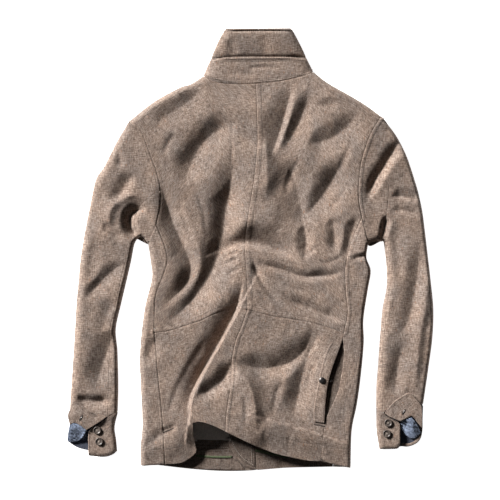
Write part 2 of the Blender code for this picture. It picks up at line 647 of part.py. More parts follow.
for side in ("left", "right"):
    (outer_edge, hind, inner_edge), _ = SLEEVES[side]
    height = sleeve_height(side)
    outer_line = shortened(rows_at(outer_edge, SLEEVE_ROWS), 0.6, 0.0)
    hind_line = rows_at(hind, SLEEVE_ROWS)
    inner_line = rows_at(inner_edge, SLEEVE_ROWS)
    row = np.arange(SLEEVE_ROWS) / (SLEEVE_ROWS - 1) * (len(SLEEVE_LEFT) - 1)
    reach = 1.0 - (1.0 - FORE_SEAM) * ease((row - 2.6) / 3.0)
    across = inner_line - outer_line
    wide = np.linalg.norm(across, axis=1, keepdims=True)
    across = across / wide
    fore = outer_line + across * wide * reach[:, None]
    seam_side = hind_line - across * np.minimum(1.7, 0.3 * wide)
    far_top = fore - across * np.minimum(1.0, 0.3 * wide)
    wrapped("top_sleeve_" + side, seam_side, outer_line, far_top, height, tweed_sleeve,
            TOP_SHARES, (0.0, 0.5, 1.0), flip=side == "left")
    first = int(np.argmax(row > 3.05))
    strip = slice(first, None)
    strip_in = hind_line[strip] + across[strip] * 0.3
    strip_out = inner_line[strip] - across[strip] * 0.5
    far_under = fore[strip] + across[strip] * 0.4
    wrapped("under_sleeve_" + side, strip_in, strip_out, far_under, height, tweed_sleeve,
            STRIP_SHARES, (0.0, 0.5, 1.0), flip=side == "right")

# The collar stands up from its band, and both run round to the front underneath.
# left across, down, right across, down, height of the top layer
LEAF_ROWS = [
    (224.5, 29.6, 292.5, 29.2, 8.0),
    (219.5, 38, 297.0, 37.6, 12.0),
    (214.5, 49, 302.5, 48.4, 13.5),
    (211.0, 57.95, 306.3, 57.15, 13.0),
]
BAND_ROWS = [
    (210.9, 58.2, 306.4, 57.4, 14.0),
    (207.0, 66.5, 310.0, 64.5, 17.0),
    (203.4, 75.4, 313.4, 71.4, 16.0),
]
BACK_OF_COLLAR = (0.02, 0.06, 0.14, 0.25, 0.38, 0.5, 0.62, 0.75, 0.86, 0.94, 0.98)
COLLAR_TURN = 0.14


def collar_piece(name, rows, count, seam_line, front_up, reach, mat):
    """A flattened ring, open at the front: rows are its sections from the top down.

    The back's lowest row follows seam_line, and the front's top row stands
    front_up above the back's.
    """
    table = np.array(rows, float)
    places = np.linspace(0, len(table) - 1, count)
    outer = []
    inner = []
    for place in places:
        row = [np.interp(place, np.arange(len(table)), table[:, k]) for k in range(5)]
        left = mm([row[0:2]])[0]
        right = mm([row[2:4]])[0]
        top = row[4]
        share_down = place / (len(table) - 1)
        up = front_up * (1 - share_down)
        out = []
        into = []
        for share in (reach, reach * 0.5, 0.035):
            spot = left + (right - left) * share
            out.append((spot[0], spot[1] + up, 0.0))
            into.append((spot[0], spot[1] + up, 2.0))
        out.append((left[0], left[1], 3.2))
        into.append((left[0] + 2.4, left[1], 3.2))
        for share in BACK_OF_COLLAR:
            spot = left + (right - left) * share
            down = 0.0
            if seam_line is not None:
                goal = np.interp(spot[0], seam_line[:, 0], seam_line[:, 1]) + 0.9
                down = (spot[1] - goal) * share_down ** 2
            t = min(min(share, 1 - share) / COLLAR_TURN, 1.0)
            z = 5.2 + (top - 5.2) * np.sqrt(1 - (1 - t) ** 2)
            out.append((spot[0], spot[1] - down, z))
            into.append((spot[0], spot[1] - down, z - CLOTH))
        out.append((right[0], right[1], 3.2))
        into.append((right[0] - 2.4, right[1], 3.2))
        for share in (0.965, 1 - reach * 0.5, 1 - reach):
            spot = left + (right - left) * share
            out.append((spot[0], spot[1] + up, 0.0))
            into.append((spot[0], spot[1] + up, 2.0))
        outer.append(out)
        inner.append(into)
    return closed(name, np.array(outer), np.array(inner), mat)


collar_piece("collar", LEAF_ROWS, 6, None, 3.2, 0.44, tweed_collar)
collar_piece("collar_band", BAND_ROWS, 5, smooth(mm(NECK_SEAM), 10), 0.0, 0.46, tweed_collar)

# The cuffs: a tab with two buttons, the flap turned back beside it, the lining
# that this shows, and the underside. Edges: top, bottom, left and right.
CUFFS = {
    "cuff_tab_left": (
        [(108.2, 417.8), (113, 415.4), (117.2, 413.1)],
        [(88.2, 456.2), (103.4, 457.3), (112, 455.2), (116.8, 451.4)],
        [(108.2, 417.8), (98, 424.6), (89.0, 431.0), (88.2, 445), (88.2, 456.2)],
        [(117.2, 413.1), (113.9, 427.7), (115.7, 439.7), (116.8, 451.4)],
    ),
    "cuff_flap_left": (
        [(72.8, 400.0), (81.5, 404.6), (88, 410.6), (93.6, 416), (106.4, 418.8)],
        [(70, 424.4), (74.6, 422.6), (80, 424.6), (87.0, 429.8)],
        [(72.8, 400.0), (71, 406), (68, 415.2), (70, 424.4)],
        [(106.4, 418.8), (97.5, 424.0), (87.0, 429.8)],
    ),
    "cuff_lining_left": (
        [(69.9, 424.7), (74.6, 422.95), (80, 424.95), (86.9, 430.2)],
        [(66.8, 441.4), (70.5, 442.4), (78.2, 441.2)],
        [(69.9, 424.7), (68.2, 432), (66.8, 441.4)],
        [(86.9, 430.2), (83, 436.8), (78.2, 441.2)],
    ),
    "cuff_under_left": (
        [(69.6, 409.5), (90, 411), (117.3, 412.95)],
        [(67, 442), (76.3, 447.8), (88, 451), (104, 455), (116.6, 451.2)],
        [(69.6, 409.5), (68.4, 415.2), (69, 430), (67, 442)],
        [(117.3, 412.95), (114.1, 427.7), (115.5, 439.7), (116.6, 451.2)],
    ),
    "cuff_tab_right": (
        [(376.6, 409.2), (379.6, 411.4), (383.0, 413.7)],
        [(379.6, 449.6), (390, 449.5), (397.5, 449), (400.2, 446.6)],
        [(376.6, 409.2), (376.5, 419), (376.8, 430.4), (379.6, 449.6)],
        [(383.0, 413.7), (391, 419.2), (399.4, 423), (400.2, 434), (400.2, 446.6)],
    ),
    "cuff_flap_right": (
        [(384.6, 413.2), (392.6, 402.6), (400, 397), (409, 392.6), (414.6, 397.6)],
        [(388.8, 416.2), (394, 418.8), (400.6, 420.8), (407, 417.6), (412, 416), (417, 422), (421.3, 428)],
        [(384.6, 413.2), (388.8, 416.2)],
        [(414.6, 397.6), (419.4, 409), (421.3, 428)],
    ),
    "cuff_lining_right": (
        [(400.8, 422.0), (406.6, 418.9), (411.6, 417.3)],
        [(401.6, 429.6), (408.2, 437), (415, 438.8), (421.2, 433)],
        [(400.8, 421.8), (401.6, 429.6)],
        [(411.6, 417.3), (416.3, 423.3), (421.2, 433)],
    ),
    "cuff_under_right": (
        [(376.5, 408.35), (399, 406.35), (423.2, 404.35)],
        [(379.8, 449.2), (400, 447.3), (416, 444.6)],
        [(376.5, 408.35), (376.9, 430.4), (379.8, 449.2)],
        [(423.2, 404.35), (422.2, 420), (421.2, 437), (416, 444.6)],
    ),
}
CUFF_LEVELS = {"cuff_tab": 13.0, "cuff_flap": 24.0, "cuff_lining": 11.5, "cuff_under": 2.0}
CUFF_GRIDS = {"cuff_tab": (9, 7), "cuff_flap": (6, 8), "cuff_lining": (5, 6), "cuff_under": (5, 6)}


def cuff_height(kind, side, edges):
    level = CUFF_LEVELS[kind]
    sleeve = sleeve_height(side)

    def height(x, y):
        if kind == "cuff_under":
            return np.full(np.shape(x), level)
        if kind == "cuff_flap":
            return sleeve(x, y) + 0.9 + CLOTH
        if kind == "cuff_lining":
            t = np.clip(away(x, y, edges[0])[0] / 26.0, 0, 1)
            return RIM + 2.0 + (sleeve(x, y) + 2.2 - RIM - 2.0) * t
        z = np.full(np.shape(x), level)
        for edge in edges:
            t = np.clip(away(x, y, edge)[0] / 9.0, 0, 1)
            z = RIM + 0.4 + (z - RIM - 0.4) * np.sqrt(1 - (1 - t) ** 2)
        start = ease((y - mm([(0, 419)])[0, 1]) / 12.0)
        return z * (1 - start) + np.maximum(sleeve(x, y), z - 4.0) * start

    return height


carriers = {}
for name, (top, bottom, left, right) in CUFFS.items():
    kind, side = name.rsplit("_", 1)
    rows, cols = CUFF_GRIDS[kind]
    grid = coons(seam(top, cols), seam(bottom, cols), seam(left, rows), seam(right, rows))
    free = [smooth(mm(bottom), 5), smooth(mm(right if side == "left" else left), 5)]
    cloth = chambray if kind == "cuff_lining" else tweed_sleeve
    thick = 2.0 if kind == "cuff_under" else CLOTH
    carriers[name] = cuff_height(kind, side, free)
    panel(name, grid, carriers[name], cloth, thick)

# Pocket welt, on the back skirt beside its opening.
WELT = (
    [(331.5, 341), (336, 343), (340, 345.5)],
    [(313.4, 421), (318.6, 421.6), (324, 422.2)],
    [(331.5, 341), (325.5, 352), (320.5, 370), (316.5, 390), (313.6, 406), (313.4, 421)],
    [(340, 345.5), (331.0, 370.5), (327.0, 387), (325.0, 405), (324, 422.2)],
)


def welt_height(x, y):
    return back_height(x, y) + 0.9 + 1.6


welt_grid = coons(seam(WELT[0], 4), seam(WELT[1], 4), seam(WELT[2], 10), seam(WELT[3], 10))
panel("pocket_welt", welt_grid, welt_height, tweed_back, 1.6)

# Buttons and the pocket's snap: a turned profile, radius and height in mm.
BUTTON_PROFILE = [(0.0, 0.0), (6.6, 0.0), (7.6, 0.9), (7.75, 2.2), (7.0, 3.0), (5.8, 2.9), (4.6, 2.0), (0.0, 1.8)]
SNAP_PROFILE = [(0.0, 0.0), (5.4, 0.0), (6.2, 0.6), (5.8, 1.5), (3.6, 2.2), (0.0, 2.4)]
# across, down, what carries it, profile
STUDS = {
    "button_left_upper": (98.2, 431.6, "cuff_tab_left", BUTTON_PROFILE),
    "button_left_lower": (100.2, 442.6, "cuff_tab_left", BUTTON_PROFILE),
    "button_right_upper": (388.7, 423.6, "cuff_tab_right", BUTTON_PROFILE),
    "button_right_lower": (387.4, 434.4, "cuff_tab_right", BUTTON_PROFILE),
    "pocket_snap": (321.8, 379.8, "pocket_welt", SNAP_PROFILE),
}


def turned(name, place, base, profile, mat, sides=20):
    mesh = bpy.data.meshes.new(name)
    points = [(r * 0.001, 0.0, z * 0.001) for r, z in profile]
    edges = [(i, i + 1) for i in range(len(points) - 1)]
    mesh.from_pydata(points, edges, [])
    made = bpy.data.objects.new(name, mesh)
    collection.objects.link(made)
    x, y = mm([place])[0] * 0.001
    made.location = (x, y, base * 0.001)
    screw = made.modifiers.new("turn", "SCREW")
    screw.steps = sides
    screw.render_steps = sides
    screw.use_merge_vertices = True
    screw.merge_threshold = 0.00001
    screw.use_normal_calculate = True
    mesh.materials.append(mat)
    return made


carriers["pocket_welt"] = welt_height
for name, (across_at, down_at, carrier, profile) in STUDS.items():
    ring = np.linspace(0, 2 * np.pi, 12, endpoint=False)
    reach = max(r for r, z in profile)
    x0, y0 = mm([(across_at, down_at)])[0]
    x_ring = np.append(x0 + reach * np.cos(ring), x0)
    y_ring = np.append(y0 + reach * np.sin(ring), y0)
    base = float(carriers[carrier](x_ring, y_ring).max()) + 0.3
    turned(name, (across_at, down_at), base, profile, brass if name == "pocket_snap" else horn)
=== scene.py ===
"""Stand-collar tweed field blazer, laid flat on its front: cloth, seams, stitches and buttons.

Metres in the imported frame. Places on the garment are given as across and down, in
picture steps of STEP millimetres, and all other sizes here are millimetres.
"""

import bpy
import numpy as np
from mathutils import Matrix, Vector


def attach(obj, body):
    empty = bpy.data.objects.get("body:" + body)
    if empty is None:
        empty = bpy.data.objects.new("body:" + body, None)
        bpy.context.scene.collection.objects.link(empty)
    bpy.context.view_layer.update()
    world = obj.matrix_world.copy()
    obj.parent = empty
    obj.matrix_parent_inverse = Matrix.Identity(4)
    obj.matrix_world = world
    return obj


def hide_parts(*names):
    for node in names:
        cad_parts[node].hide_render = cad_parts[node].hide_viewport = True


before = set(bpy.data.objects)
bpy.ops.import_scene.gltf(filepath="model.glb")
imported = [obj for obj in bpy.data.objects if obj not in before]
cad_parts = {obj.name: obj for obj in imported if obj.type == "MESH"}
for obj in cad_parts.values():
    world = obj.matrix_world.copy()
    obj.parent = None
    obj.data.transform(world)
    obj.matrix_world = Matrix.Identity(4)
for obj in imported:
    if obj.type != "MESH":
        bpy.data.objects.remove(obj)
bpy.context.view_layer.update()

STEP = 1.95            # mm for one step
MIDDLE_ACROSS = 250.3  # the origin, in steps
MIDDLE_DOWN = 249.9

CLOTH = 2.2            # wall of tweed with its lining
SEAM = 0.02            # each side of a seam stays this far back from it
BODY_TOP = 23.5        # the back's level between its folds
SLEEVE_TOP = 22.0      # the sleeves' level between theirs
BODY_LOW = 7.0         # no fold of the back goes below this
SLEEVE_LOW = 5.2       # and none of a sleeve below this
RIM = 4.6              # top of the cloth where it turns down at the outline
CELL = 2.2             # mesh cell of the panels
# How wide the cloth rolls down: at the shoulders and sides, and at a sleeve's outer and inner edge.
BODY_ROLLS = (14.0, 9.0, 12.0, 7.0)
SLEEVE_ROLLS = {"left": (17.0, 8.0), "right": (8.0, 15.0)}

# Curves.


def mm(points):
    """Places in steps, across and down, as millimetres from the origin."""
    places = np.array(points, float)
    x = (places[:, 0] - MIDDLE_ACROSS) * STEP
    y = (MIDDLE_DOWN - places[:, 1]) * STEP
    return np.stack([x, y], 1)


def smooth(points, pieces=8):
    """A smooth line through the points, as a fine polyline."""
    p = np.array(points, float)
    ends = np.vstack([2 * p[0] - p[1], p, 2 * p[-1] - p[-2]])
    t = np.linspace(0, 1, pieces, endpoint=False)[:, None]
    runs = []
    for i in range(len(p) - 1):
        a, b, c, d = ends[i:i + 4]
        runs.append(
            b + 0.5 * t * ((c - a)
                           + t * (2 * a - 5 * b + 4 * c - d)
                           + t * t * (3 * b - a - 3 * c + d))
        )
    runs.append(p[-1:])
    return np.vstack(runs)


def route(points, pieces=10):
    return smooth(mm(points), pieces)


def run_of(line):
    """Length along a polyline at each of its points."""
    return np.concatenate([[0.0], np.cumsum(np.linalg.norm(np.diff(line, axis=0), axis=1))])


def along(line, shares):
    """Points of a polyline at shares of its length."""
    run = run_of(line)
    want = np.asarray(shares, float) * run[-1]
    return np.stack([np.interp(want, run, line[:, k]) for k in range(line.shape[1])], 1)


def ease(t):
    t = np.clip(t, 0.0, 1.0)
    return t * t * (3 - 2 * t)


def unit(steps):
    """These steps, each at length one."""
    return steps / np.maximum(np.linalg.norm(steps, axis=-1, keepdims=True), 1e-6)


def normals(line):
    """Unit vectors across a line at each of its points, to its left hand."""
    tangent = unit(np.gradient(line, axis=0))
    return np.stack([-tangent[:, 1], tangent[:, 0]], 1)


def away(x, y, line):
    """Distance of each place from a polyline, the side, and how far along."""
    a, b = line[:-1], line[1:]
    ab = b - a
    lengths = np.linalg.norm(ab, axis=1)
    starts = np.concatenate([[0.0], np.cumsum(lengths)[:-1]])
    best = np.full(x.shape, 1e9)
    side = np.zeros(x.shape)
    share = np.zeros(x.shape)
    for i in range(len(a)):
        vx = x - a[i, 0]
        vy = y - a[i, 1]
        t = np.clip((vx * ab[i, 0] + vy * ab[i, 1]) / lengths[i] ** 2, 0, 1)
        d = np.hypot(vx - t * ab[i, 0], vy - t * ab[i, 1])
        near = d < best
        best = np.where(near, d, best)
        side = np.where(near, ab[i, 0] * vy - ab[i, 1] * vx, side)
        share = np.where(near, (starts[i] + t * lengths[i]) / lengths.sum(), share)
    return best, side, share


def onto(points, line, reach):
    """Move the points that are within reach of a polyline onto it."""
    a, b = line[:-1], line[1:]
    ab = b - a
    t = ((points[:, None] - a) * ab).sum(2) / (ab * ab).sum(1)
    foot = a + np.clip(t, 0, 1)[..., None] * ab
    gone = np.linalg.norm(points[:, None] - foot, axis=2)
    pick = gone.argmin(1)
    nearest = foot[np.arange(len(points)), pick]
    share = 1 - ease((gone.min(1) - reach * 0.6) / (reach * 0.4))
    return points + (nearest - points) * share[:, None]


def near_to(x, y, line, reach):
    """Which places lie within reach of a polyline's box."""
    low = line.min(0) - reach
    high = line.max(0) + reach
    return (x > low[0]) & (x < high[0]) & (y > low[1]) & (y < high[1])


# Outline and seams, in steps (across, down).

NECK_SEAM = [(203, 76), (208, 79), (220, 83), (235, 84.5), (256, 84), (280, 81.5), (300, 77), (314, 72)]
SHOULDER_LEFT = [(131, 119.3), (153, 102), (178.6, 87.7), (190, 84), (203, 76)]
SHOULDER_RIGHT = [(314, 72), (328.4, 83), (350.8, 95.7), (366, 105), (381, 116)]
ARMHOLE_LEFT = [(131, 119.3), (141, 131), (151, 156), (158, 176), (160.5, 190),
                (159.8, 208), (156.4, 224)]
ARMHOLE_RIGHT = [(381, 116), (369.5, 136), (361, 162), (358, 187.6), (358.6, 204), (361.5, 218)]
SIDE_LEFT = [(148, 244), (150.5, 262), (151.7, 278), (145, 306), (141, 335), (139.3, 360),
             (140.3, 382.7), (142, 424), (140.3, 446), (140.3, 466)]
SIDE_RIGHT = [(368, 245.5), (366.7, 258), (371, 271), (368, 290), (363.6, 320), (364, 343),
              (361, 376), (357, 405), (352, 430.5), (350.8, 468)]
CENTRE_BACK = [(256, 84), (257.5, 130), (257, 150), (254, 180), (250, 205), (247, 225),
               (245, 250), (247, 279), (247.5, 309.6)]
CENTRE_SKIRT = [(247.5, 309.6), (241, 328), (236, 340), (232, 360), (231, 383), (227, 410), (225.6, 430)]
WAIST_LEFT = [(154.5, 332.5), (170.6, 330), (186, 325), (201, 320), (215, 313.4), (236.4, 306.5),
              (247.5, 309.6)]
WAIST_RIGHT = [(247.5, 309.6), (260, 312.6), (273, 316), (306, 321), (331, 328), (343.7, 332.8)]
PANEL_LEFT_UPPER = [(156.4, 224), (164.5, 245), (167.5, 260.6), (163, 276), (155.7, 297), (154.5, 332.5)]
PANEL_LEFT_LOWER = [(154.5, 332.5), (155.7, 345.6), (159, 383), (161, 399.5), (163.4, 429), (165, 464)]
PANEL_RIGHT_UPPER = [(361.5, 218), (353, 237), (345.7, 263), (345.3, 288), (347.4, 312), (343.7, 332.8)]
WELT_EDGE = [(343.7, 332.8), (340.3, 345), (331, 370.5), (327, 387), (324.6, 417), (323.9, 428),
             (320.5, 461)]
# How far the side panel stands off the welt along that edge: down, millimetres.
POCKET_GAP = [(338, 0.0), (352, 12.0), (370, 22.0), (388, 24.0), (402, 15.0), (414, 5.0), (424, 0.0)]
HEM_SKIRT_LEFT = [(165, 464), (180, 463), (190, 458), (196.3, 451), (191.5, 442), (186.2, 432),
                  (187.4, 424.4)]
HEM_ARCH = [(187.4, 424.4), (199.5, 420.4), (213, 424), (225.6, 430)]
SKIRT_FOLD = [(240.5, 307.4), (232, 319), (222.5, 337), (213, 354), (204, 369), (196.3, 382),
              (190, 396), (187.4, 408), (187.4, 424.4)]
HEM_SKIRT_RIGHT = [(225.6, 430), (250.5, 442.4), (274.4, 452.7), (304.7, 459.8), (320.5, 461)]

# Folds: left and right are the whole widths of the banks on those hands as the route
# is walked, height is up from the cloth, and soft is 1 for a creased line, 2 for a round one.
# name, left, right, height, soft, route
BACK_FOLDS = [
    ("shoulder dip", 44, 30, -6, 1.6, [(207, 88), (192, 99), (178, 109), (164, 118), (154, 130)]),
    ("left blade arch", 52, 40, -12, 1.5, [(243, 125), (228, 127), (214, 133), (203, 143), (195, 156),
        (188, 172), (183, 190)]),
    ("left long valley", 52, 46, -17, 1.15, [(235, 150), (233, 167), (230, 187), (225, 213),
        (222, 237), (217, 257), (208, 277), (193, 299), (173, 318), (158, 325)]),
    ("armhole valley", 34, 36, -15, 1.2, [(159, 176), (165, 197), (173, 223), (184, 247), (191, 267),
        (186, 284), (171, 300), (158, 308)]),
    ("skirt long valley", 5, 44, -17.5, 1.1, [(243, 276), (241, 292), (237, 307), (231, 320),
        (222, 337), (213, 353), (205, 367), (197, 382), (190, 398), (186, 418)]),
    ("skirt arch", 34, 42, -11.5, 1.25, [(313, 322), (309, 341), (300, 355), (284, 365), (263, 368),
        (244, 364), (232, 354)]),
    ("skirt arch foot", 26, 30, -10, 1.3, [(232, 356), (230, 366), (222, 380), (208, 390), (193, 396)]),
    ("skirt crest", 30, 62, 8.5, 1.0, [(233, 362), (245, 376), (252, 390), (255, 404), (256, 416),
        (256, 430)]),
    ("skirt right valley", 46, 36, -10, 1.4, [(316, 326), (310, 347), (302, 378), (296, 404),
        (292, 424)]),
    ("neck valley", 13, 42, -11, 1.2, [(292, 86), (288, 104), (282, 126), (275, 146), (270, 158)]),
    ("neck right valley", 46, 26, -9, 1.4, [(309, 86), (306, 104), (299, 122), (290, 140), (280, 156)]),
    ("centre crest", 30, 76, 7, 1.0, [(264, 132), (266, 146), (267, 162), (267, 180), (265, 206)]),
    ("centre valley", 42, 54, -10, 1.4, [(284, 158), (292, 176), (299, 196), (302, 216), (304, 240)]),
    ("right shoulder dip", 18, 20, -3.5, 1.6, [(308, 104), (324, 106), (340, 102)]),
    ("right blade arch", 44, 36, -8.5, 1.3, [(358, 110), (348, 126), (332, 138), (316, 143), (302, 146)]),
    ("right blade valley", 54, 42, -12, 1.3, [(341, 160), (334, 178), (324, 194), (312, 209),
        (301, 221)]),
    ("right blade foot", 20, 24, -8, 1.4, [(301, 219), (305, 232), (306, 245), (303, 260)]),
    ("right pleat", 24, 20, -6, 1.5, [(330, 214), (334, 232), (334, 256)]),
    ("right side valley", 26, 22, -7, 1.5, [(358, 214), (351, 236), (344, 262)]),
    ("hollow over waist", 42, 16, -20, 1.1, [(198, 262), (212, 252), (225, 247), (240, 243),
        (254, 243), (273, 248), (288, 255), (302, 264)]),
    ("hollow brow", 60, 28, 4.5, 1.4, [(228, 228), (244, 221), (262, 221), (282, 228)]),
    ("lip crease", 16, 16, -7, 1.2, [(214, 268), (227, 263), (240, 257)]),
    ("waist curve crease", 18, 12, -8, 1.1, [(252, 261), (266, 265), (283, 270), (296, 275),
        (307, 277), (320, 276), (333, 275), (347, 269)]),
    ("waist slant crease", 14, 10, -5, 1.2, [(252, 254), (255, 268), (261, 281), (270, 293), (284, 307)]),
    ("waist long crease", 20, 16, -7, 1.3, [(282, 296), (297, 303), (312, 309), (326, 315), (346, 322)]),
    ("left waist crease", 26, 20, -4, 1.7, [(160, 334), (151, 350), (141, 366)]),
    ("hem left slant", 16, 20, -3, 1.7, [(168, 428), (154, 440), (139, 450)]),
    ("vent pucker", 12, 12, -3, 1.6, [(178, 424), (168, 429), (160, 432)]),
    ("side pinch", 9, 9, -6, 1.4, [(349, 259), (358, 257), (370, 255)]),
]

# The back's hem is lifted in a long arch: how high over the rest, along its sharp edge.
# across, down, lift, spread to the right
HEM_LIFT = [
    (240, 306, 4, 40),
    (224, 335, 7, 60),
    (205, 368, 11, 80),
    (192, 396, 15, 100),
    (188, 422, 18, 120),
]

SLEEVE_LEFT_FOLDS = [
    ("head crease", 16, 12, -3.5, 1.4, [(116, 144), (119, 156), (121, 170)]),
    ("upper dip", 18, 26, -6, 1.6, [(134, 172), (124, 188), (115, 206)]),
    ("armpit hollow", 18, 21, -15, 1.25, [(148, 211), (138, 210), (130, 216), (131, 229), (141, 242)]),
    ("armpit crest", 15, 16, 4.5, 1.4, [(148, 200), (132, 196), (118, 202), (110, 215), (112, 234)]),
    ("outer line", 26, 22, -4.5, 1.7, [(101, 182), (96, 204), (93, 218), (89, 238)]),
    ("armpit slant", 15, 15, -4, 1.4, [(102, 221), (112, 231), (124, 242)]),
    ("upper line", 26, 26, -3, 1.8, [(98, 240), (92, 262), (88, 286)]),
    ("elbow pinch", 32, 22, -6, 1.35, [(128, 261), (114, 270), (101, 282), (84, 302)]),
    ("elbow low", 26, 22, -3, 1.7, [(114, 296), (107, 314), (100, 336)]),
    ("lower slant", 32, 38, -8, 1.5, [(117, 324), (109, 346), (101, 370), (94, 394)]),
    ("cuff crease", 22, 15, -8, 1.2, [(113, 399), (97, 401), (84, 400), (74, 396)]),
]
SLEEVE_RIGHT_FOLDS = [
    ("head trough", 16, 24, -10, 1.2, [(405, 134), (394, 150), (382, 169), (371, 188), (365, 208)]),
    ("head crest", 26, 12, 2.5, 1.5, [(410, 146), (397, 163), (384, 181), (373, 200)]),
    ("elbow crease", 10, 24, -5.5, 1.35, [(422, 201), (405, 197), (390, 196)]),
    ("elbow crease low", 10, 14, -3, 1.5, [(420, 215), (405, 211), (390, 210)]),
    ("armpit hollow", 14, 12, -9, 1.4, [(386, 214), (384, 228), (381, 242)]),
    ("inner line", 22, 24, -3, 1.8, [(399, 218), (396, 250), (398, 284)]),
    ("upper line", 22, 28, -6.5, 1.5, [(419, 240), (418, 268), (413, 300), (407, 324), (392, 338)]),
    ("lower line", 24, 26, -6.5, 1.5, [(403, 340), (398, 366), (394, 400)]),
    ("outer crest", 14, 22, 4, 1.5, [(428, 262), (425, 305), (420, 332), (417, 360), (415, 398)]),
]

# Small creases that only the looks have, in the same columns.
BACK_CREASES = [
    ("waist gather", 9, 6, -2.2, 1.2, [(222, 258), (230, 255), (240, 251)]),
    ("waist gather low", 10, 7, -1.8, 1.2, [(226, 276), (234, 271), (243, 266)]),
    ("waist fan upper", 9, 7, -1.8, 1.3, [(262, 250), (276, 258), (292, 264), (306, 266)]),
    ("waist fan middle", 8, 7, -1.5, 1.3, [(262, 272), (276, 281), (292, 288), (310, 294)]),
    ("waist fan low", 9, 7, -1.6, 1.3, [(256, 288), (264, 298), (272, 308)]),
    ("right waist tuck", 8, 8, -2.2, 1.2, [(300, 258), (309, 254), (317, 246)]),
    ("right waist tuck low", 8, 8, -1.8, 1.2, [(318, 262), (330, 262), (343, 256)]),
    ("seam pucker left", 8, 6, -1.4, 1.3, [(166, 322), (176, 328), (186, 336)]),
    ("seam pucker right", 9, 7, -1.6, 1.3, [(318, 330), (314, 344), (306, 358)]),
    ("left back slant", 12, 9, -1.8, 1.5, [(178, 196), (184, 218), (192, 238)]),
    ("left back slant low", 12, 9, -1.6, 1.5, [(196, 190), (203, 210), (206, 236)]),
    ("left shoulder slant", 12, 9, -1.8, 1.5, [(176, 132), (168, 144), (163, 158)]),
    ("middle left line", 8, 8, -1.6, 1.2, [(233, 118), (232, 136), (232, 152), (231, 168)]),
    ("middle right slant", 14, 10, -2.0, 1.5, [(300, 158), (290, 176), (284, 198)]),
    ("right back slant", 14, 10, -2.0, 1.5, [(352, 142), (344, 158), (338, 174)]),
    ("right back slant low", 12, 9, -1.8, 1.5, [(346, 186), (338, 200), (326, 212)]),
    ("small of back line", 10, 7, -1.8, 1.4, [(214, 282), (222, 292), (228, 304)]),
    ("skirt left slant", 16, 12, -2.4, 1.5, [(206, 338), (194, 358), (178, 384)]),
    ("skirt left foot", 14, 10, -2.0, 1.5, [(184, 372), (176, 392), (168, 414)]),
    ("skirt middle line", 12, 9, -2.0, 1.5, [(243, 392), (246, 408), (244, 426)]),
    ("skirt right slant", 14, 10, -2.0, 1.5, [(284, 376), (276, 394), (272, 416)]),
    ("welt pucker", 8, 8, -1.6, 1.4, [(318, 360), (310, 374), (308, 390)]),
    ("hem pucker", 9, 7, -0.8, 1.4, [(292, 432), (288, 442), (290, 454)]),
    ("hem pucker middle", 9, 7, -0.7, 1.4, [(268, 424), (264, 436), (268, 446)]),
]

# Sewn lines: the hand that the seam's allowance lies on as the route is walked (1 left,
# -1 right, 0 none), the width to its row of stitches, and the route.
SEWN = [
    ("centre back", 1, 9.0, CENTRE_BACK),
    ("waist left", 1, 8.5, WAIST_LEFT),
    ("waist right", 1, 8.5, WAIST_RIGHT),
    ("centre skirt", 1, 6.0, CENTRE_SKIRT),
    ("armhole left", -1, 6.5, ARMHOLE_LEFT),
    ("armhole right", 1, 6.5, ARMHOLE_RIGHT),
    ("side left upper", -1, 6.5, PANEL_LEFT_UPPER),
    ("side left lower", -1, 6.5, PANEL_LEFT_LOWER),
    ("side right upper", 1, 6.5, PANEL_RIGHT_UPPER),
    ("neck", 1, 5.0, NECK_SEAM),
]


FADE = 0.3     # share of a fold's length over which each of its ends fades out
NARROW = 0.6   # and the share of its width that it keeps at its very end


def relief(x, y, folds):
    """How far the folds move the cloth up or down at each place."""
    up = np.zeros(x.shape)
    down = np.zeros(x.shape)
    for _, left, right, height, soft, places in folds:
        line = route(places, 5)
        near = near_to(x, y, line, max(left, right))
        if not near.any():
            continue
        gone, side, share = away(x[near], y[near], line)
        ends = ease(share / FADE) * ease((1 - share) / FADE)
        width = np.where(side > 0, left, right) * (NARROW + (1 - NARROW) * ends)
        t = np.clip(gone / width, 0, 1)
        creased = 1 - np.sin(0.5 * np.pi * t)
        bank = creased + (soft - 1) * (1 - ease(t) - creased)
        moved = (abs(height) * ends * bank) ** 3
        if height > 0:
            up[near] += moved
        else:
            down[near] += moved
    return np.cbrt(up) - np.cbrt(down)


# Waves of the unevenness: by x, by y, phase.
WAVES = [(0.031, 0.017, 0.3), (-0.022, 0.041, 1.9), (0.052, -0.036, 4.1), (0.013, 0.067, 2.2),
         (0.078, 0.024, 5.5), (-0.061, 0.058, 0.9)]


def ripple(x, y, shift=0.0):
    """A gentle unevenness of the cloth, from -1 to 1."""
    total = np.zeros(np.shape(x))
    for i, (a, b, c) in enumerate(WAVES):
        bend = 2.4 * np.sin(0.017 * y + 0.011 * x + i)
        total = total + np.sin(2 * np.pi * (a * x + b * y) * 0.3 + c + shift + bend)
    return total / len(WAVES)


def lift(x, y):
    """The raised arch of the hem, to the right of its sharp edge."""
    table = np.array(HEM_LIFT, float)
    edge = route(table[:, :2], 6)
    gone, side, share = away(x, y, edge)
    rows = np.linspace(0, 1, len(table))
    up = np.interp(share, rows, table[:, 2])
    spread = np.interp(share, rows, table[:, 3])
    right = up * ease(gone / 4.0) * np.exp(-((gone / (spread * 1.7)) ** 2))
    downs = MIDDLE_DOWN - y / STEP
    right = right * (1 - ease((downs - 418) / 30) * (1 - ease((x / STEP + MIDDLE_ACROSS - 197) / 5)))
    return np.where(side > 0, right, 0.0)


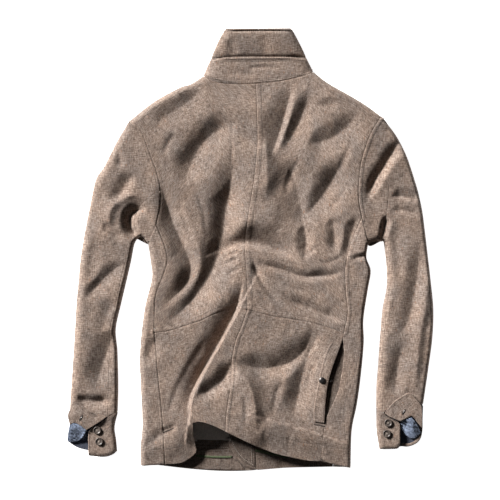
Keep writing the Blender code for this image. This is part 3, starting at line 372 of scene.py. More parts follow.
def turned_down(x, y, level, low, edges, rolls, rim=RIM):
    """The cloth rolls down to the rim over its free edges, and never sinks below low."""
    z = low + np.logaddexp(0.0, (level - low) / 1.2) * 1.2
    for edge, roll in zip(edges, rolls):
        near = near_to(x, y, edge, roll)
        gone = np.full(x.shape, roll)
        gone[near] = away(x[near], y[near], edge)[0]
        t = np.clip(gone / roll, 0, 1)
        z = rim + (z - rim) * np.sqrt(1 - (1 - t) ** 2)
    return z


def sewn(x, y, lines):
    """Seam allowances pressed to one side, with their rows of stitches pulled in."""
    z = np.zeros(x.shape)
    for _, hand, width, places in lines:
        line = route(places, 6)
        near = near_to(x, y, line, width + 12.0)
        if not near.any():
            continue
        gone, side, share = away(x[near], y[near], line)
        length = run_of(line)[-1]
        pull = np.sin(2 * np.pi * share * length / 8.5 + 3 * np.sin(share * 23))
        local = 0.12 * pull * np.exp(-np.abs(gone - width * 0.5) / 5.0)
        on = np.sign(side) == hand
        band = 0.4 * (1 - ease((gone - width + 0.8) / 1.8))
        stitched = -0.25 * np.exp(-((gone - width) / 1.1) ** 2)
        local = local + np.where(on, band + stitched, 0.0)
        local = local - 0.4 * np.exp(-((gone / 1.5) ** 2))
        z[near] += local
    return z


BODY_EDGES = [route(line, 5) for line in (SHOULDER_LEFT, SHOULDER_RIGHT, SIDE_LEFT, SIDE_RIGHT)]
# Rows of stitches that follow no seam, in the columns of SEWN.
SURFACE_ROWS = [
    ("side", 0, 0.1, [(359.5, 343), (357, 360), (352, 379), (346, 397), (343.5, 412), (344.5, 440)]),
    ("side inner", 0, 0.1, [(355.5, 344), (353, 360), (348, 379), (342.5, 397), (340, 412), (340.8, 440)]),
    ("hem left", 0, 0.1, [(141, 450.5), (152, 449), (165, 448), (178, 446.5), (188, 443)]),
    ("hem right", 0, 0.1, [(226, 413), (250, 424), (272, 434), (300, 441), (321, 443.5)]),
    ("hem side", 0, 0.1, [(321.5, 444), (335, 447), (351, 448.5)]),
    ("shoulder left", 0, 0.1, [(137, 124.5), (156, 108), (180, 94), (192, 90), (205, 82.5)]),
    ("shoulder right", 0, 0.1, [(311, 79), (326, 89.5), (348, 102), (362, 110.5), (376, 121)]),
]
# Where the back lies lower: along the hem at both sides, and at the neck. Line, reach, drop.
DROPS = [
    (route([(270, 452), (304, 460), (352, 470)], 4), 60.0, 10.0),
    (route([(136, 467), (176, 466), (192, 459), (197, 451)], 4), 50.0, 9.0),
    (route(NECK_SEAM, 4), 55.0, 6.0),
]


def back_height(x, y):
    """The top of the back at each place, with its folds, seams and turned-down edges."""
    level = BODY_TOP + relief(x, y, BACK_FOLDS) + relief(x, y, BACK_CREASES) + lift(x, y)
    level = level + 0.9 * ripple(x, y) + 0.3 * ripple(x * 2.3, y * 1.9, 3.0)
    for edge, reach, drop in DROPS:
        level = level - drop * (1 - ease(away(x, y, edge)[0] / reach))
    z = turned_down(x, y, level, BODY_LOW, BODY_EDGES, BODY_ROLLS)
    return z + sewn(x, y, SEWN) + sewn(x, y, SURFACE_ROWS)


# Sleeves, a row for each section from the shoulder to the cuff: the outer edge,
# the seam at the back of the arm, and the inner edge.
# outer across, down, seam across, down, inner across, down
SLEEVE_LEFT = [
    (131, 119.3, 131.2, 119.6, 131.2, 119.6),
    (119, 137, 144, 138, 144, 138),
    (104, 166, 155.4, 168, 155.4, 168),
    (95.7, 178.6, 160.3, 187, 160.3, 187),
    (91, 199, 143, 203, 156.4, 224),
    (88.6, 211, 136.5, 213, 148, 243.8),
    (86, 224, 134.5, 226, 141, 237),
    (83.2, 239, 131, 241, 134.6, 243),
    (79.7, 261.5, 125.5, 262, 130.7, 261.5),
    (78.2, 280, 121, 281, 126.2, 281),
    (76, 303, 116, 304, 120.8, 304),
    (74.6, 328, 110.5, 329, 115.5, 329),
    (73.2, 351, 109.5, 352, 117.2, 352),
    (70.9, 385, 108.5, 388, 118, 386),
    (69.4, 409.0, 107.7, 417.4, 117.4, 412.5),
]
SLEEVE_RIGHT = [
    (381, 116, 380.8, 116.4, 380.8, 116.4),
    (395.4, 134, 369.6, 136, 369.6, 136),
    (405.6, 153, 362.6, 160, 362.6, 160),
    (411.5, 169, 360.4, 176, 360.4, 176),
    (414.5, 178.6, 386, 182, 359.4, 200),
    (418.5, 192, 388, 196, 361.5, 218),
    (422.5, 210.5, 386.5, 213, 368, 245),
    (424.6, 226, 385.3, 229, 380.8, 241.6),
    (427.3, 248.7, 386.5, 252, 384.6, 246),
    (431, 280.6, 389.5, 283, 387.2, 283),
    (433.7, 309.3, 386, 309, 382.8, 309),
    (432.7, 338, 384, 338, 380.2, 338),
    (429, 366.7, 382.4, 367, 378.2, 367),
    (426.4, 385, 383.4, 388, 376.6, 388),
    (423.6, 404, 383, 412.8, 376.4, 408),
]


def sleeve_table(rows):
    """The outer edge, the seam and the inner edge of a sleeve, in millimetres."""
    table = np.array(rows, float)
    return mm(table[:, 0:2]), mm(table[:, 2:4]), mm(table[:, 4:6])


def rows_at(points, count):
    """Points on a smooth line at equal shares between its table rows."""
    fine = smooth(points, 12)
    place = np.linspace(0, len(fine) - 1, count)
    return np.stack([np.interp(place, np.arange(len(fine)), fine[:, k]) for k in range(2)], 1)


SLEEVES = {
    "left": (sleeve_table(SLEEVE_LEFT), SLEEVE_LEFT_FOLDS),
    "right": (sleeve_table(SLEEVE_RIGHT), SLEEVE_RIGHT_FOLDS),
}


CUFF_DROP = 8.0   # how much lower a sleeve lies at its cuff


def sleeve_height(side):
    """The function that gives the top of a sleeve; it joins the back at the armhole."""
    (outer, _, inner), folds = SLEEVES[side]
    edges = [smooth(outer, 4), smooth(inner[5:] if side == "left" else inner[6:], 4)]
    armhole = route(ARMHOLE_LEFT if side == "left" else ARMHOLE_RIGHT, 5)

    def height(x, y):
        level = SLEEVE_TOP + relief(x, y, folds)
        level = level + 0.8 * ripple(x, y, 2.0) + 0.3 * ripple(x * 2.3, y * 1.9, 5.0)
        level = level - CUFF_DROP * ease((MIDDLE_DOWN - y / STEP - 330) / 80)
        z = turned_down(x, y, level, SLEEVE_LOW, edges, SLEEVE_ROLLS[side])
        share = ease(away(x, y, armhole)[0] / 30.0)
        return share * z + (1 - share) * back_height(x, y)

    return height


# Materials.


class Look:
    """A material being built, node by node."""

    def __init__(self, name):
        self.material = bpy.data.materials.new(name)
        self.material.use_nodes = True
        self.tree = self.material.node_tree
        self.shader = self.tree.nodes["Principled BSDF"]

    def feed(self, socket, value):
        """Link a socket to another one, or set its value."""
        if isinstance(value, bpy.types.NodeSocket):
            self.tree.links.new(value, socket)
        else:
            socket.default_value = value

    def add(self, kind, inputs=(), **settings):
        """A new node, with its inputs by name or place."""
        made = self.tree.nodes.new(kind)
        for key, value in settings.items():
            setattr(made, key, value)
        for key, value in dict(inputs).items():
            self.feed(made.inputs[key], value)
        return made

    def math(self, operation, a, b=0.0):
        return self.add("ShaderNodeMath", {0: a, 1: b}, operation=operation).outputs[0]

    def noise(self, where, scales, detail=2.0, rough=0.55):
        """Noise on the cloth's own lengths, with cells of these sizes in millimetres."""
        moved = self.add("ShaderNodeVectorMath", {0: where, 1: [1000.0 / s for s in scales]},
                         operation="MULTIPLY")
        return self.add("ShaderNodeTexNoise", {"Vector": moved.outputs[0], "Scale": 1.0,
                                               "Detail": detail, "Roughness": rough}).outputs["Fac"]

    def ramp(self, factor, stops):
        """Colours by a factor: stops are places with their colours."""
        made = self.add("ShaderNodeValToRGB", {"Fac": factor})
        while len(made.color_ramp.elements) < len(stops):
            made.color_ramp.elements.new(0.5)
        for element, (place, colour) in zip(made.color_ramp.elements, stops):
            element.position = place
            element.color = (*colour, 1.0)
        return made.outputs["Color"]

    def mix(self, factor, a, b, blend="MIX"):
        """Two colours, mixed or blended by a factor."""
        made = self.tree.nodes.new("ShaderNodeMix")
        made.data_type = "RGBA"
        made.blend_type = blend
        for place, value in ((0, factor), (6, a), (7, b)):
            if place and not isinstance(value, bpy.types.NodeSocket):
                value = (*value, 1.0)
            self.feed(made.inputs[place], value)
        return made.outputs[2]

    def finish(self, colour, height=None, distance=0.0004, strength=0.6, rough=0.9):
        """Give the shader its colour, its roughness and a bump of the height."""
        self.tree.links.new(colour, self.shader.inputs["Base Color"])
        self.shader.inputs["Roughness"].default_value = rough
        if height is not None:
            bump = self.add("ShaderNodeBump",
                            {"Height": height, "Strength": strength, "Distance": distance})
            self.tree.links.new(bump.outputs["Normal"], self.shader.inputs["Normal"])
        return self.material


def weave(look, pitch):
    """The cloth's own lengths, and a fine check of yarns on them, at this pitch."""
    where = look.add("ShaderNodeUVMap", uv_map="weave").outputs[0]
    parts = look.add("ShaderNodeSeparateXYZ", {0: where})
    across, down = (look.math("SINE", look.math("MULTIPLY", parts.outputs[k], 2 * np.pi / pitch))
                    for k in (0, 1))
    return where, look.math("MULTIPLY", across, down)


def tweed(name, gain=1.0):
    """Melange tweed: light and dark yarns both ways, rust flecks, soft cloudy patches."""
    look = Look(name)
    where, check = weave(look, 0.0019)
    warp = look.noise(where, (1.9, 10.0, 1.0))
    weft = look.noise(where, (10.0, 1.9, 1.0))
    speck = look.noise(where, (2.2, 2.2, 1.0), 3.0, 0.7)
    yarns = look.math("ADD", look.math("MULTIPLY", warp, 0.36), look.math("MULTIPLY", weft, 0.36))
    yarns = look.math("ADD", yarns, look.math("MULTIPLY", speck, 0.28))
    yarns = look.math("ADD", yarns, look.math("MULTIPLY", check, 0.018))
    dark = (0.10 * gain, 0.072 * gain, 0.058 * gain)
    middle = (0.335 * gain, 0.254 * gain, 0.211 * gain)
    light = (0.60 * gain, 0.51 * gain, 0.445 * gain)
    colour = look.ramp(yarns, [(0.37, dark), (0.50, middle), (0.63, light)])
    cloud = look.noise(where, (46.0, 70.0, 1.0), 3.0, 0.6)
    tint = look.ramp(cloud, [(0.36, (0.86, 0.87, 0.885)), (0.64, (1.07, 1.01, 0.955))])
    colour = look.mix(1.0, colour, tint, "MULTIPLY")
    fleck = look.noise(where, (3.2, 9.0, 1.0), 1.0, 0.5)
    rust = look.ramp(fleck, [(0.68, (0.0, 0.0, 0.0)), (0.76, (0.6, 0.6, 0.6))])
    colour = look.mix(rust, colour, (0.42 * gain, 0.205 * gain, 0.115 * gain))
    fleck = look.noise(where, (9.0, 3.0, 1.0), 1.0, 0.5)
    night = look.ramp(fleck, [(0.67, (0.0, 0.0, 0.0)), (0.75, (0.7, 0.7, 0.7))])
    colour = look.mix(night, colour, (0.075 * gain, 0.062 * gain, 0.060 * gain))
    height = look.math("ADD", look.math("MULTIPLY", check, 0.25), yarns)
    look.shader.inputs["Sheen Weight"].default_value = 0.12
    look.shader.inputs["Sheen Roughness"].default_value = 0.6
    look.shader.inputs["Sheen Tint"].default_value = (0.85, 0.78, 0.7, 1.0)
    look.shader.inputs["Specular IOR Level"].default_value = 0.2
    return look.finish(colour, height, 0.0006, 0.75, 0.95)


def plain_cloth(name, first, second, pitch, soft=0.2, rough=0.85):
    """A fine plain weave of two colours of yarn."""
    look = Look(name)
    where, check = weave(look, pitch)
    slub = look.noise(where, (1.2, 14.0, 1.0))
    slub = look.math("ADD", look.math("MULTIPLY", slub, 0.5),
                     look.math("MULTIPLY", look.noise(where, (14.0, 1.2, 1.0)), 0.5))
    blend = look.math("ADD", slub, look.math("MULTIPLY", check, 0.12))
    colour = look.ramp(blend, [(0.36, first), (0.64, second)])
    look.shader.inputs["Sheen Weight"].default_value = soft
    look.shader.inputs["Sheen Roughness"].default_value = 0.5
    return look.finish(colour, check, 0.0002, 0.5, rough)


def thread(name, colour):
    """Twisted thread, darker and lighter along its strands."""
    look = Look(name)
    where = look.add("ShaderNodeTexCoord").outputs["Object"]
    twist = look.noise(where, (1.1, 1.1, 1.1))
    shade = look.ramp(twist, [(0.3, [c * 0.6 for c in colour]), (0.7, [c * 1.3 for c in colour])])
    return look.finish(shade, twist, 0.0002, 0.5, 0.7)


def horn_look(name):
    """Dark horn with paler streaks."""
    look = Look(name)
    where = look.add("ShaderNodeTexCoord").outputs["Object"]
    streak = look.noise(where, (3.0, 9.0, 6.0), 4.0, 0.6)
    colour = look.ramp(streak, [(0.35, (0.035, 0.028, 0.025)), (0.55, (0.085, 0.068, 0.058)),
                                (0.72, (0.24, 0.20, 0.175))])
    return look.finish(colour, streak, 0.0001, 0.25, 0.42)


def metal_look(name):
    """Dark metal, unevenly tarnished."""
    look = Look(name)
    where = look.add("ShaderNodeTexCoord").outputs["Object"]
    patch_ = look.noise(where, (2.0, 2.0, 2.0), 4.0, 0.6)
    colour = look.ramp(patch_, [(0.35, (0.09, 0.085, 0.085)), (0.7, (0.26, 0.24, 0.23))])
    look.shader.inputs["Metallic"].default_value = 1.0
    return look.finish(colour, patch_, 0.0001, 0.3, 0.34)


TWEED = tweed("tweed", 0.64)
# TWEED is the cloth's own colour; this is a darker copy of it, painted shade for the inner faces and the
# back's turned-up hem.
TWEED_INSIDE_PAINTED_SHADE = tweed("tweed_inside_painted_shade", 0.5)
# Darker still: painted shade for the insides of the fronts below the hem's turn, and for the left facing.
TWEED_HEM_PAINTED_SHADE = tweed("tweed_hem_painted_shade", 0.4)
# Darkest copy: painted shade for the right facing and for the pocket's facing.
TWEED_DEEP_PAINTED_SHADE = tweed("tweed_deep_painted_shade", 0.3)
# The lining's own pale colour, raised further as painted light for the shaded hollow under the lifted hem.
LINING_PAINTED_LIGHT = plain_cloth("lining", (0.50, 0.44, 0.40), (0.76, 0.68, 0.62), 0.0008, 0.1)
CHAMBRAY = plain_cloth("chambray", (0.07, 0.09, 0.145), (0.25, 0.30, 0.40), 0.0010, 0.2)
# A dark copy of the chambray: painted shade for the under layer's top, in the cuffs' hollows.
CHAMBRAY_PAINTED_SHADE = plain_cloth("chambray_painted_shade", (0.022, 0.026, 0.042), (0.06, 0.07, 0.10), 0.0010, 0.1)
TAPE = plain_cloth("tape", (0.045, 0.06, 0.027), (0.11, 0.135, 0.065), 0.0012, 0.1)
THREAD = thread("thread", (0.06, 0.045, 0.038))
THREAD_LIGHT = thread("thread_light", (0.34, 0.29, 0.25))
HORN = horn_look("horn")
METAL = metal_look("dark_metal")

# Cloth.

NEAR = np.array([0.0, 0.45, 1.0, 1.8, 2.9, 4.3])


def cells(length, cell=CELL):
    """Shares of an edge of that length, closer together near both ends."""
    middle = np.arange(NEAR[-1] + cell, length - NEAR[-1] - cell * 0.4, cell)
    return np.concatenate([NEAR, middle, length - NEAR[::-1]]) / length


def patch(top, bottom, left, right, cell=CELL, across=None, down=None):
    """A grid of places between four edges. Rows run down, columns run to the right."""
    u = cells((run_of(top)[-1] + run_of(bottom)[-1]) / 2, cell) if across is None else across
    v = cells((run_of(left)[-1] + run_of(right)[-1]) / 2, cell) if down is None else down
    top, bottom = along(top, u), along(bottom, u)
    left, right = along(left, v), along(right, v)
    u, v = u[None, :, None], v[:, None, None]
    across = (1 - u) * left[:, None, :] + u * right[:, None, :]
    down = (1 - v) * top[None, :, :] + v * bottom[None, :, :]
    corners = (
        (1 - u) * (1 - v) * top[0] + u * (1 - v) * top[-1]
        + (1 - u) * v * bottom[0] + u * v * bottom[-1]
    )
    return across + down - corners


def drawn_in(grid, gap=SEAM):
    """Move the four edges of a grid inwards by the seam's share."""
    out = grid.copy()
    for pick, inward_pick in (
        ((slice(None), 0), (slice(None), 1)),
        ((slice(None), -1), (slice(None), -2)),
        ((0, slice(None)), (1, slice(None))),
        ((-1, slice(None)), (-2, slice(None))),
    ):
        line = grid[pick]
        normal = normals(line)
        inner = grid[inward_pick] - line
        turn = np.sign((normal * inner).sum(1, keepdims=True))
        out[pick] = out[pick] + normal * turn * gap
    return out


def lengths_of(grid):
    """The cloth's own lengths at each point of a grid: across and down, in millimetres."""
    right = np.linalg.norm(np.diff(grid, axis=1), axis=2)
    down = np.linalg.norm(np.diff(grid, axis=0), axis=2)
    u = np.concatenate([np.zeros((len(grid), 1)), np.cumsum(right, axis=1)], 1)
    v = np.concatenate([np.zeros((1, grid.shape[1])), np.cumsum(down, axis=0)], 0)
    return u, v


FREE = 0.86   # how much of its half thickness a free, folded edge rounds off
SEWED = 0.3   # and an edge that runs into a seam


def nosed(outer, inner, radius, edges):
    """Round the four edges of a wall: left, right, top and bottom, each by its share."""
    u, v = lengths_of(outer)
    drop = np.zeros(u.shape)
    for share, gone in zip(edges, (u, u[:, -1:] - u, v, v[-1:] - v)):
        t = np.clip(gone / radius, 0, 1)
        drop = np.maximum(drop, share * (1 - np.sqrt(1 - (1 - t) ** 2)))
    drop = drop[..., None]
    middle = (outer + inner) / 2
    return outer + (middle - outer) * drop, inner + (middle - inner) * drop


def linked(name, data):
    """A new object in the scene."""
    made = bpy.data.objects.new(name, data)
    bpy.context.scene.collection.objects.link(made)
    return made


def build(name, outer, inner, looks, inside=None, plan=False):
    """One closed wall between two grids of points, given in millimetres.

    looks are the materials of the outer and the inner face, and then any that
    inside, a function of the places, picks for the inner face. The weave runs on
    the cloth's lengths, or by plan where slanting rows would shear it.
    """
    rows, cols = outer.shape[:2]
    number = np.arange(rows * cols).reshape(rows, cols)
    shift = rows * cols
    face = [number[:-1, :-1], number[1:, :-1], number[1:, 1:], number[:-1, 1:]]
    front = np.stack([f.ravel() for f in face], 1)
    back = front[:, ::-1] + shift
    rims = []
    for a, b in (
        (number[:-1, 0], number[1:, 0]),
        (number[1:, -1], number[:-1, -1]),
        (number[0, 1:], number[0, :-1]),
        (number[-1, :-1], number[-1, 1:]),
    ):
        rims.append(np.stack([b, a, a + shift, b + shift], 1))
    rims = np.concatenate(rims)
    faces = np.concatenate([front, back, rims])
    points = np.concatenate([outer.reshape(-1, 3), inner.reshape(-1, 3)]) * 0.001
    mesh = bpy.data.meshes.new(name)
    mesh.from_pydata(points.tolist(), [], faces.tolist())
    u, v = lengths_of(outer)
    if plan:
        u, v = outer[..., 0], outer[..., 1]
    where = np.stack([u.ravel(), v.ravel()], 1) * 0.001
    where = np.concatenate([where, where])
    layer = mesh.uv_layers.new(name="weave")
    corner = np.zeros(len(mesh.loops), np.int32)
    mesh.loops.foreach_get("vertex_index", corner)
    layer.data.foreach_set("uv", where[corner].ravel())
    for look in looks:
        mesh.materials.append(look)
    pick = np.zeros(len(faces), np.int32)
    if len(looks) > 1:
        pick[len(front):len(front) * 2] = 1
        if inside is not None:
            middle = points[back].mean(1) * 1000
            pick[len(front):len(front) * 2] = inside(middle[:, 0], middle[:, 1])
    mesh.polygons.foreach_set("material_index", pick)
    mesh.polygons.foreach_set("use_smooth", np.ones(len(faces), bool))
    mesh.update()
    made = linked(name, mesh)
    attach(made, "root")
    return made


surfaces = {}   # the outer and the inner grid of each node's cloth


def cloth(node, outer, inner, looks, inside=None, nose=1.0, edges=(FREE,) * 4, plan=False):
    """A piece of cloth that stands for its node."""
    outer, inner = nosed(outer, inner, nose, edges)
    made = build(node + "_cloth", outer, inner, looks, inside, plan)
    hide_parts(node)
    surfaces[node] = (outer, inner)
    return made


def raised(grid, height, thick=CLOTH):
    """The outer face of a cloth over a plan grid, and the inner face below it."""
    z = height(grid[..., 0], grid[..., 1])
    outer = np.concatenate([grid, z[..., None]], 2)
    inner = outer.copy()
    inner[..., 2] -= thick
    return outer, inner


def joined(*runs):
    """Runs of points end to end, without the doubled joints."""
    return np.vstack([runs[0]] + [run[1:] for run in runs[1:]])


HEM_TURN = 36.0   # depth of the turned-up hem


def hem_inside(x, y):
    """Inside the back: the turned-up hem is tweed, in a darker copy with painted shade, and the lining starts
    above it.
    """
    right = away(x, y, route(HEM_ARCH + HEM_SKIRT_RIGHT[1:]))[0]
    left = away(x, y, route(HEM_SKIRT_LEFT))[0]
    return np.where(np.minimum(right, left) < HEM_TURN, 2, 1)


# The back.

waist_left = route(WAIST_LEFT)
waist_right = route(WAIST_RIGHT)
centre = route(CENTRE_BACK)
top_left = joined(route(SHOULDER_LEFT), route(NECK_SEAM[:5]))
top_right = joined(route(NECK_SEAM[4:]), route(SHOULDER_RIGHT))
back_left = patch(top_left, waist_left, joined(route(ARMHOLE_LEFT), route(PANEL_LEFT_UPPER)), centre)
back_right = patch(top_right, waist_right, centre, joined(route(ARMHOLE_RIGHT), route(PANEL_RIGHT_UPPER)))

skirt_centre = route(CENTRE_SKIRT)
skirt_left_edge = route(PANEL_LEFT_LOWER)
welt_edge = route(WELT_EDGE)
FOLD_AT = 0.92   # where the fold of the skirt starts, as a share of the left waist seam
fold_line = route(SKIRT_FOLD)
fold_top = along(waist_left, [FOLD_AT])[0]
fold_line = fold_line + (fold_top - fold_line[0]) * np.linspace(1, 0, len(fold_line))[:, None]
shares = np.linspace(0, 1, 40)
waist_outer = along(waist_left, shares * FOLD_AT)
waist_inner = along(waist_left, FOLD_AT + shares * (1 - FOLD_AT))
skirt_down = cells(260.0)
outer_cells = np.concatenate([NEAR / 100.0, np.linspace(0.06, 1, 46)])
inner_cells = np.concatenate([np.linspace(0, 0.93, 26), 1 - NEAR[::-1] / 70.0])
skirt_outer = patch(waist_outer, route(HEM_SKIRT_LEFT), skirt_left_edge, fold_line,
                    across=outer_cells, down=skirt_down)
skirt_inner = patch(waist_inner, route(HEM_ARCH), fold_line, skirt_centre,
                    across=inner_cells, down=skirt_down)
skirt_left = np.concatenate([skirt_outer, skirt_inner[:, 1:]], 1)
skirt_right = patch(waist_right, route(HEM_SKIRT_RIGHT), skirt_centre, welt_edge)

# Outer face, inner face and turned-up hem: the inner looks carry painted light and painted shade.
BODY_LOOKS = (TWEED, LINING_PAINTED_LIGHT, TWEED_INSIDE_PAINTED_SHADE)
# name, grid, how its left, right, top and bottom edges end
BACKS = (
    ("back_left", back_left, (SEWED, SEWED, SEWED, SEWED)),
    ("back_right", back_right, (SEWED, SEWED, SEWED, SEWED)),
    ("back_skirt_left", skirt_left, (SEWED, SEWED, SEWED, FREE)),
    ("back_skirt_right", skirt_right, (SEWED, SEWED, SEWED, FREE)),
)
for name, grid, edges in BACKS:
    outer, inner = raised(drawn_in(grid), back_height)
    cloth(name, outer, inner, BODY_LOOKS, hem_inside, edges=edges)

# The sides, which wrap round the outline to lie under the back.

UNDER_WRAP = 34.0   # how far the side panels reach in under the back
UNDER_CLOTH = 1.9   # thickness of a layer underneath
# Section of the turn at the outline: in from it and up, for the outer and the inner face.
TURN = [
    (0.0, 3.7, 2.2, 3.3),
    (0.0, 2.6, 2.2, 3.1),
    (0.45, 1.5, 2.35, 2.75),
    (1.4, 0.5, 2.7, 2.3),
    (3.2, 0.0, 3.6, 2.0),
]


def inward(edge, towards, gap):
    """An edge line moved sideways, towards the side given as +1 or -1."""
    normal = normals(edge)
    turn = np.sign(normal[:, :1] * towards)
    return edge + normal * turn * gap


def shortened(line, head):
    """A line with its start moved in along it by these millimetres."""
    out = line.copy()
    out[0] = line[0] + unit(line[1] - line[0]) * head
    return out


def wrapped(name, seam_edge, outline, far, height, looks, wide, flip=False, seed=0.0):
    """A wall from a seam over the outline, then in under the garment to the far line."""
    outer = []
    inner = []
    for share in cells(wide)[:-1]:
        place = seam_edge + (outline - seam_edge) * share
        z = height(place[:, 0], place[:, 1])
        outer.append(np.column_stack([place, z]))
        inner.append(np.column_stack([place, z - CLOTH]))
    step = unit(far - outline)
    for out_in, out_up, into, into_up in TURN:
        outer.append(np.column_stack([outline + step * out_in, np.full(len(outline), out_up)]))
        inner.append(np.column_stack([outline + step * into, np.full(len(outline), into_up)]))
    first = outline + step * (TURN[-1][0] + 0.5)
    for share in np.linspace(0, 1, 12):
        flat = first + (far - first) * share
        up = 0.5 * np.clip(ripple(flat[:, 0] * 1.6, flat[:, 1] * 1.6, seed), 0, 1) * ease(share * 4)
        outer.append(np.column_stack([flat, up]))
        inner.append(np.column_stack([flat, up + UNDER_CLOTH]))
    outer = np.stack(outer, 1)
    inner = np.stack(inner, 1)
    if flip:
        outer = outer[:, ::-1]
        inner = inner[:, ::-1]
    return cloth(name, outer, inner, looks, edges=(SEWED, SEWED, SEWED, FREE), plan=True)


def dense(line, count):
    return along(line, cells(run_of(line)[-1], run_of(line)[-1] / count))


pocket_downs = MIDDLE_DOWN - welt_edge[:, 1] / STEP
pocket_gap = np.interp(pocket_downs, [row[0] for row in POCKET_GAP], [row[1] for row in POCKET_GAP])
pocket_edge = welt_edge + np.column_stack([pocket_gap, np.zeros(len(pocket_gap))])
SIDE_COUNT = 200
SIDE_HEAD = 0.8   # the side panels start this far below the armholes
left_seam = dense(joined(route(PANEL_LEFT_UPPER), skirt_left_edge), SIDE_COUNT)
right_seam = dense(joined(route(PANEL_RIGHT_UPPER), pocket_edge), SIDE_COUNT)
left_seam = shortened(inward(left_seam, -1, SEAM), SIDE_HEAD)
right_seam = shortened(inward(right_seam, 1, SEAM), SIDE_HEAD)
side_shares = np.linspace(0, 1, min(len(left_seam), len(right_seam)))
left_seam = along(left_seam, side_shares)
right_seam = along(right_seam, side_shares)
left_outline = shortened(along(route(SIDE_LEFT), side_shares), SIDE_HEAD)
right_outline = shortened(along(route(SIDE_RIGHT), side_shares), SIDE_HEAD)
left_side_seam = inward(left_outline, 1, UNDER_WRAP)
right_side_seam = inward(right_outline, -1, UNDER_WRAP)
for name, seam, outline, far in (
    ("side_left", left_seam, left_outline, left_side_seam),
    ("side_right", right_seam, right_outline, right_side_seam),
):
    wrapped(name, seam, outline, far, back_height, (TWEED, LINING_PAINTED_LIGHT), 38.0,
            flip=name == "side_left")

# Inside the pocket's opening shows the cloth that faces its far side, in the darkest copy of the tweed, with
# painted shade.
POCKET_DOWNS = (336.0, 426.0)   # from here down to here
shares = np.linspace(0.0, 1.0, 60)
opening = (pocket_downs > POCKET_DOWNS[0]) & (pocket_downs < POCKET_DOWNS[1])
near_side = along(welt_edge[opening], shares) + np.array([1.2, 0.0])
far_side = along(pocket_edge[opening], shares) + np.array([7.0, 0.0])
facing = near_side[:, None] + (far_side - near_side)[:, None] * np.linspace(0, 1, 16)[None, :, None]
rise = 1 - ease(np.linspace(0, 1, 16) * 3.0)[None, :]
facing_up = back_height(facing[..., 0], facing[..., 1]) - CLOTH - 0.8 - 5.0 * rise
facing_top = np.concatenate([facing, facing_up[..., None]], 2)
facing_low = facing_top - np.array([0.0, 0.0, 1.0])
pocket_facing = build("pocket_facing_sheet", facing_top, facing_low, (TWEED_DEEP_PAINTED_SHADE,))

# Behind each seam lie its allowances.
for name, _, _, places in SEWN:
    line = along(route(places), np.linspace(0.02, 0.98, 90))
    normal = normals(line)
    band = line[:, None] + normal[:, None] * np.array([-4.0, -2.0, 0.0, 2.0, 4.0])[None, :, None]
    up = back_height(band[..., 0], band[..., 1]).min(1, keepdims=True) - CLOTH - 0.3
    top = np.concatenate([band, np.repeat(up, 5, 1)[..., None]], 2)
    low = top - np.array([0.0, 0.0, 0.8])
    piece = build("allowance_" + name.replace(" ", "_"), top, low, (TWEED_INSIDE_PAINTED_SHADE,))

# The fronts lie flat on the surface, the right one over the left one.
FRONT_ARMHOLE_LEFT = [(131, 119.3), (143, 131), (153, 156), (160.5, 176), (164, 190),
                      (166, 210), (166.5, 228)]
FRONT_ARMHOLE_RIGHT = [(381, 116), (368, 136), (359, 162), (355, 187.6), (352.5, 204), (350.5, 226)]
LEFT_FRONT_EDGE = [(258, 84.5), (262.5, 120), (262.5, 200), (262.5, 320), (262.5, 469)]
RIGHT_FRONT_EDGE = [(249, 84.5), (226, 120), (225, 200), (224.5, 320), (224.5, 430), (226.6, 438),
                    (232, 451.6), (237.5, 460), (245, 466.6), (258, 470.6)]
FRONT_HEM_LEFT = [(158, 466.4), (191, 470), (223, 472), (252, 471.3), (262.5, 469)]
FRONT_HEM_RIGHT = [(258, 470.6), (287, 469), (333, 468.4)]
FRONT_CELL = 3.4


def ended(points, first, last):
    """A smooth edge whose ends are moved to the given places."""
    line = route(points)
    line = line + (first - line[0]) * np.linspace(1, 0, len(line))[:, None]
    return line + (last - line[-1]) * np.linspace(0, 1, len(line))[:, None]


def beside(line, far, gap):
    """The far line of a side panel, moved on by the gap, for the front to start from."""
    return far + unit(far - line) * gap


left_front_side = beside(left_outline, left_side_seam, 0.35)
right_front_side = beside(right_outline, right_side_seam, 0.35)
front_left_edge = joined(route(FRONT_ARMHOLE_LEFT)[:-6], left_front_side)
front_right_edge = joined(route(FRONT_ARMHOLE_RIGHT)[:-6], right_front_side)
left_free = route(LEFT_FRONT_EDGE)
right_free = route(RIGHT_FRONT_EDGE)
front_left_top = ended(SHOULDER_LEFT + NECK_SEAM[1:5], front_left_edge[0], left_free[0])
front_right_top = ended(NECK_SEAM[4:] + SHOULDER_RIGHT[1:], right_free[0], front_right_edge[0])
front_left_hem = ended(FRONT_HEM_LEFT, front_left_edge[-1], left_free[-1])
front_right_hem = ended(FRONT_HEM_RIGHT, right_free[-1], front_right_edge[-1])


CLIMB_ACROSS = 282.0   # where the right front starts to climb onto the left one
FRONT_CLOTH = 2.0
TURN_DOWN = 441.0      # below this place inside the fronts shows tweed instead of the lining


def front_level(over):
    """The top of a front, on the surface; the right one climbs over the left one's edge."""
    step = (CLIMB_ACROSS - MIDDLE_ACROSS) * STEP

    def height(x, y):
        up = 2.4 * ease((step - x) / 14.0) if over else 0.0
        return FRONT_CLOTH + up + np.zeros(np.shape(x))

    return height


